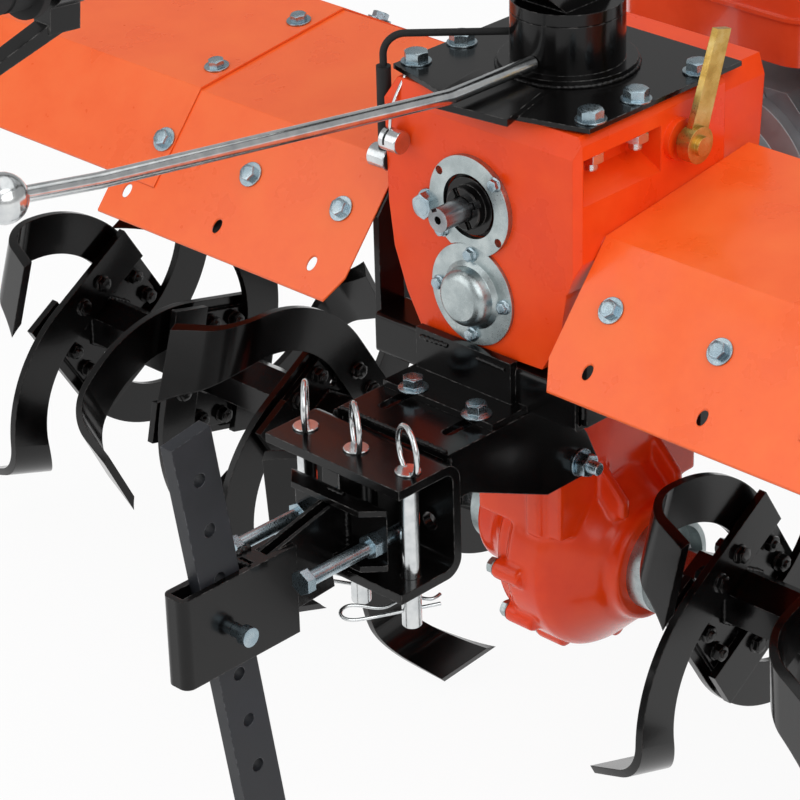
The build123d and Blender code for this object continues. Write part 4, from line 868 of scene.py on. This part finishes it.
# Slotted collar nut over the power take-off shaft's shoulder
collarNut = {"rings": [(23.5, 0.0), (24.0, 0.5), (24.0, 6.0), (17.8, 6.01), (17.8, 13.0), (17.0, 13.8)],
             "bore": (21.8, 21.8, 40.0), "counterbore": (37.5, 37.5, 9.2),
             "slots": ((6.0, 50.0, 5.0), (50.0, 6.0, 5.0)), "slotSpot": (0.0, 0.0, 13.0),
             "spot": (0.0, -134.2, 535.0), "turn": 27}
collar = turned(48, collarNut["rings"])
cut(collar, collarNut["bore"], (0.0, 0.0, 0.0), 'round')
cut(collar, collarNut["counterbore"], (0.0, 0.0, 0.0), 'round')
for slot in collarNut["slots"]:
    cut(collar, slot, collarNut["slotSpot"])
collar.data.transform(aim(collarNut["spot"], rearward, collarNut["turn"]))
finishPiece(collar, "shaftCollarNut", blackEnamel, "chassis", 30)
print("hitch dressed")

# Engine bolts: on the bell's bosses, under the feet, through the rails' sides and round the shroud
engine = {"bellY": 178.0, "bellZ": 446.0, "bellRing": 82.0, "bellTurns": (22, 76, 130, 184, 238, 302),
          "boss": [(8.0, 0.0), (9.5, 1.0), (9.5, 17.5)], "boltTurn": 19,
          "bolt": {"flats": 13.0, "height": 6.0, "flange": 8.2, "thick": 1.2},
          "footX": 78.0, "footY": (214.0, 328.0), "footZ": 292.0, "footTurn": 11,
          "railX": 90.0, "railY": (66.0, 108.0, 500.0), "railZ": 315.0, "railTurn": 7,
          "shroudY": 411.0, "shroudRing": 92.0, "shroudTurns": (45, 135, 225, 315),
          "screw": {"flats": 8.0, "height": 4.0, "flange": 6.0, "thick": 1.0}}


def bellSpot(ring, y, turn):
    # a point on a circle round the engine's shaft
    across, rise = around(ring, turn)
    return across, y, engine["bellZ"] + rise


boss = turned(28, engine["boss"])
bellSpots = [bellSpot(engine["bellRing"], engine["bellY"], turn) for turn in engine["bellTurns"]]
spots = [aim(spot, forward) for spot in bellSpots]
copies(boss, "bellBosses", spots, castAluminium, "chassis")
engineBolt = boltHead(**engine["bolt"])
spots = [aim(spot, rearward, engine["boltTurn"] * k) for k, spot in enumerate(bellSpots)]
for side in sides:
    for y in engine["footY"]:
        spots.append(aim((side * engine["footX"], y, engine["footZ"]), downward, engine["footTurn"]))
for side in sides:
    for k, y in enumerate(engine["railY"]):
        railSpot = (side * engine["railX"], y, engine["railZ"])
        spots.append(aim(railSpot, (side, 0, 0), engine["railTurn"] * k))
copies(engineBolt, "engineBolts", spots, zincBlue, "chassis")
screw = boltHead(**engine["screw"])
spots = [aim(bellSpot(engine["shroudRing"], engine["shroudY"], turn), forward, turn)
         for turn in engine["shroudTurns"]]
copies(screw, "shroudScrews", spots, zincBlue, "chassis")
drop(boss, engineBolt, screw)

# Oil filler cap with a grip cut across it, starter handle, and ribs round the tank's cap
fittings = {"oilCap": [(9.0, 0.0), (9.0, 5.0), (15.0, 5.01), (16.0, 6.2), (16.0, 12.0), (14.6, 13.4)],
            "oilSpot": (96.0, 318.0, 392.0), "oilTurn": 20, "gripCut": (5.0, 40.0, 4.0),
            "gripX": (12.0, -12.0), "gripZ": 13.0,
            "handle": [(4.0, 0.0), (7.0, 2.0), (8.5, 6.0), (8.0, 12.0), (10.5, 20.0), (10.5, 26.0),
                       (8.0, 29.0)],
            "handleStretch": (1.9, 0.9, 1.0, 1.0), "handleSpot": (52.0, 430.0, 398.0),
            "rib": [(1.6, 0.0), (2.0, 0.6), (2.0, 15.0), (1.5, 15.8)], "ribRing": 27.0, "ribStep": 15,
            "capSpot": (-40.0, 322.0, 649.0)}
oilCap = turned(36, fittings["oilCap"])
for x in fittings["gripX"]:
    cut(oilCap, fittings["gripCut"], (x, 0.0, fittings["gripZ"]))
oilCap.data.transform(aim(fittings["oilSpot"], rightward, fittings["oilTurn"]))
finishPiece(oilCap, "oilFillerCap", blackPlastic, "chassis")
handle = turned(28, fittings["handle"])
handle.data.transform(Matrix.Diagonal(fittings["handleStretch"]))
handle.data.transform(aim(fittings["handleSpot"], forward))
finishPiece(handle, "starterHandle", blackPlastic, "chassis")
rib = turned(12, fittings["rib"])
x, y, z = fittings["capSpot"]
spots = []
for turn in range(0, 360, fittings["ribStep"]):
    along, across = around(fittings["ribRing"], turn)
    spots.append(aim((x + along, y + across, z), upward))
copies(rib, "tankCapRibs", spots, tankEnamel, "chassis")
drop(rib)

# Muffler guard: a plate of slots over the hot box, on four feet
guardPlate = {"spot": (169.0, 236.0, 688.0), "size": (100.0, 78.0), "columns": 9, "rows": 4, "bar": 2.6,
              "thick": 1.6, "foot": [(6.0, 0.0), (6.0, 2.0), (3.5, 3.0), (3.5, 11.5)], "footIn": 8.0,
              "footDrop": 11.0}
deselect()
x, y, z = guardPlate["spot"]
width, depth = guardPlate["size"]
bpy.ops.mesh.primitive_grid_add(x_subdivisions=guardPlate["columns"], y_subdivisions=guardPlate["rows"],
                                size=1.0, location=place(x, y, z))
guard = bpy.context.object
guard.scale = (width * mm, depth * mm, 1)
bpy.ops.object.transform_apply(location=False, scale=True)
bpy.ops.object.mode_set(mode='EDIT')
bpy.ops.mesh.select_mode(type='FACE')
bpy.ops.mesh.select_all(action='SELECT')
bpy.ops.mesh.inset(thickness=guardPlate["bar"] * mm, use_individual=True)
bpy.ops.mesh.delete(type='FACE')
bpy.ops.object.mode_set(mode='OBJECT')
modify(guard, 'SOLIDIFY', thickness=guardPlate["thick"] * mm, offset=1.0)
foot = turned(20, guardPlate["foot"])
feet = []
for sideX in sides:
    for sideY in sides:
        footSpot = place(x + sideX * (width / 2 - guardPlate["footIn"]),
                         y + sideY * (depth / 2 - guardPlate["footIn"]), z - guardPlate["footDrop"])
        feet.append(copied(foot, "guardFoot", Matrix.Translation(footSpot)))
drop(foot)
finishPiece(joined([guard] + feet), "mufflerGuard", mufflerCoat, "chassis")

# Wing nut on the air cleaner: a hub with two wings drawn up and out
wings = {"hub": [(7.0, 0.0), (7.0, 6.0), (5.0, 9.0)], "root": (10, 3, 8), "rootX": 8, "rootZ": 6,
         "reach": 5, "rise": 7, "taper": (1, 0.7, 0.8), "edge": 1.0, "spot": (151.0, 345.0, 690.0),
         "turn": 35}
parts = [turned(24, wings["hub"])]
for side in sides:
    deselect()
    bpy.ops.mesh.primitive_cube_add(size=mm, location=(side * wings["rootX"] * mm, 0, wings["rootZ"] * mm))
    wing = bpy.context.object
    wing.scale = wings["root"]
    bpy.ops.object.transform_apply(location=True, scale=True)
    pickFaces(wing, lambda middle, normal, way=side: normal.x * way > facing)
    outAndUp = (side * wings["reach"] * mm, 0, wings["rise"] * mm)
    bpy.ops.mesh.extrude_region_move(TRANSFORM_OT_translate={"value": outAndUp})
    bpy.ops.transform.resize(value=wings["taper"])
    bpy.ops.object.mode_set(mode='OBJECT')
    modify(wing, 'BEVEL', width=wings["edge"] * mm, segments=2)
    parts.append(wing)
wingNut = joined(parts)
wingNut.data.transform(aim(wings["spot"], upward, wings["turn"]))
finishPiece(wingNut, "wingNut", zincBright, "chassis")

# Handlebar fittings: nuts on the tilt bolt, and the weld round the turret's foot
turret = {"x": 6, "boltReach": 52, "boltY": -150, "boltZ": 800, "boltTurn": 12,
          "nut": {"flats": 19.0, "height": 8.0}, "footY": -30, "footZ": 625, "weldRing": 56.5,
          "weldRadius": 1.6}
tiltNut = boltHead(**turret["nut"])
spots = [aim((turret["x"] + side * turret["boltReach"], turret["boltY"], turret["boltZ"]), (side, 0, 0),
             turret["boltTurn"]) for side in sides]
copies(tiltNut, "tiltNuts", spots, zincBlue, "bar_column")
drop(tiltNut)
run = []
for turn in range(0, 361, 10):
    across, along = around(turret["weldRing"], turn)
    run.append((turret["x"] + across, turret["footY"] + along, turret["footZ"]))
bead("turretWeld", [run], turret["weldRadius"], "chassis")
print("engine and handlebars dressed")
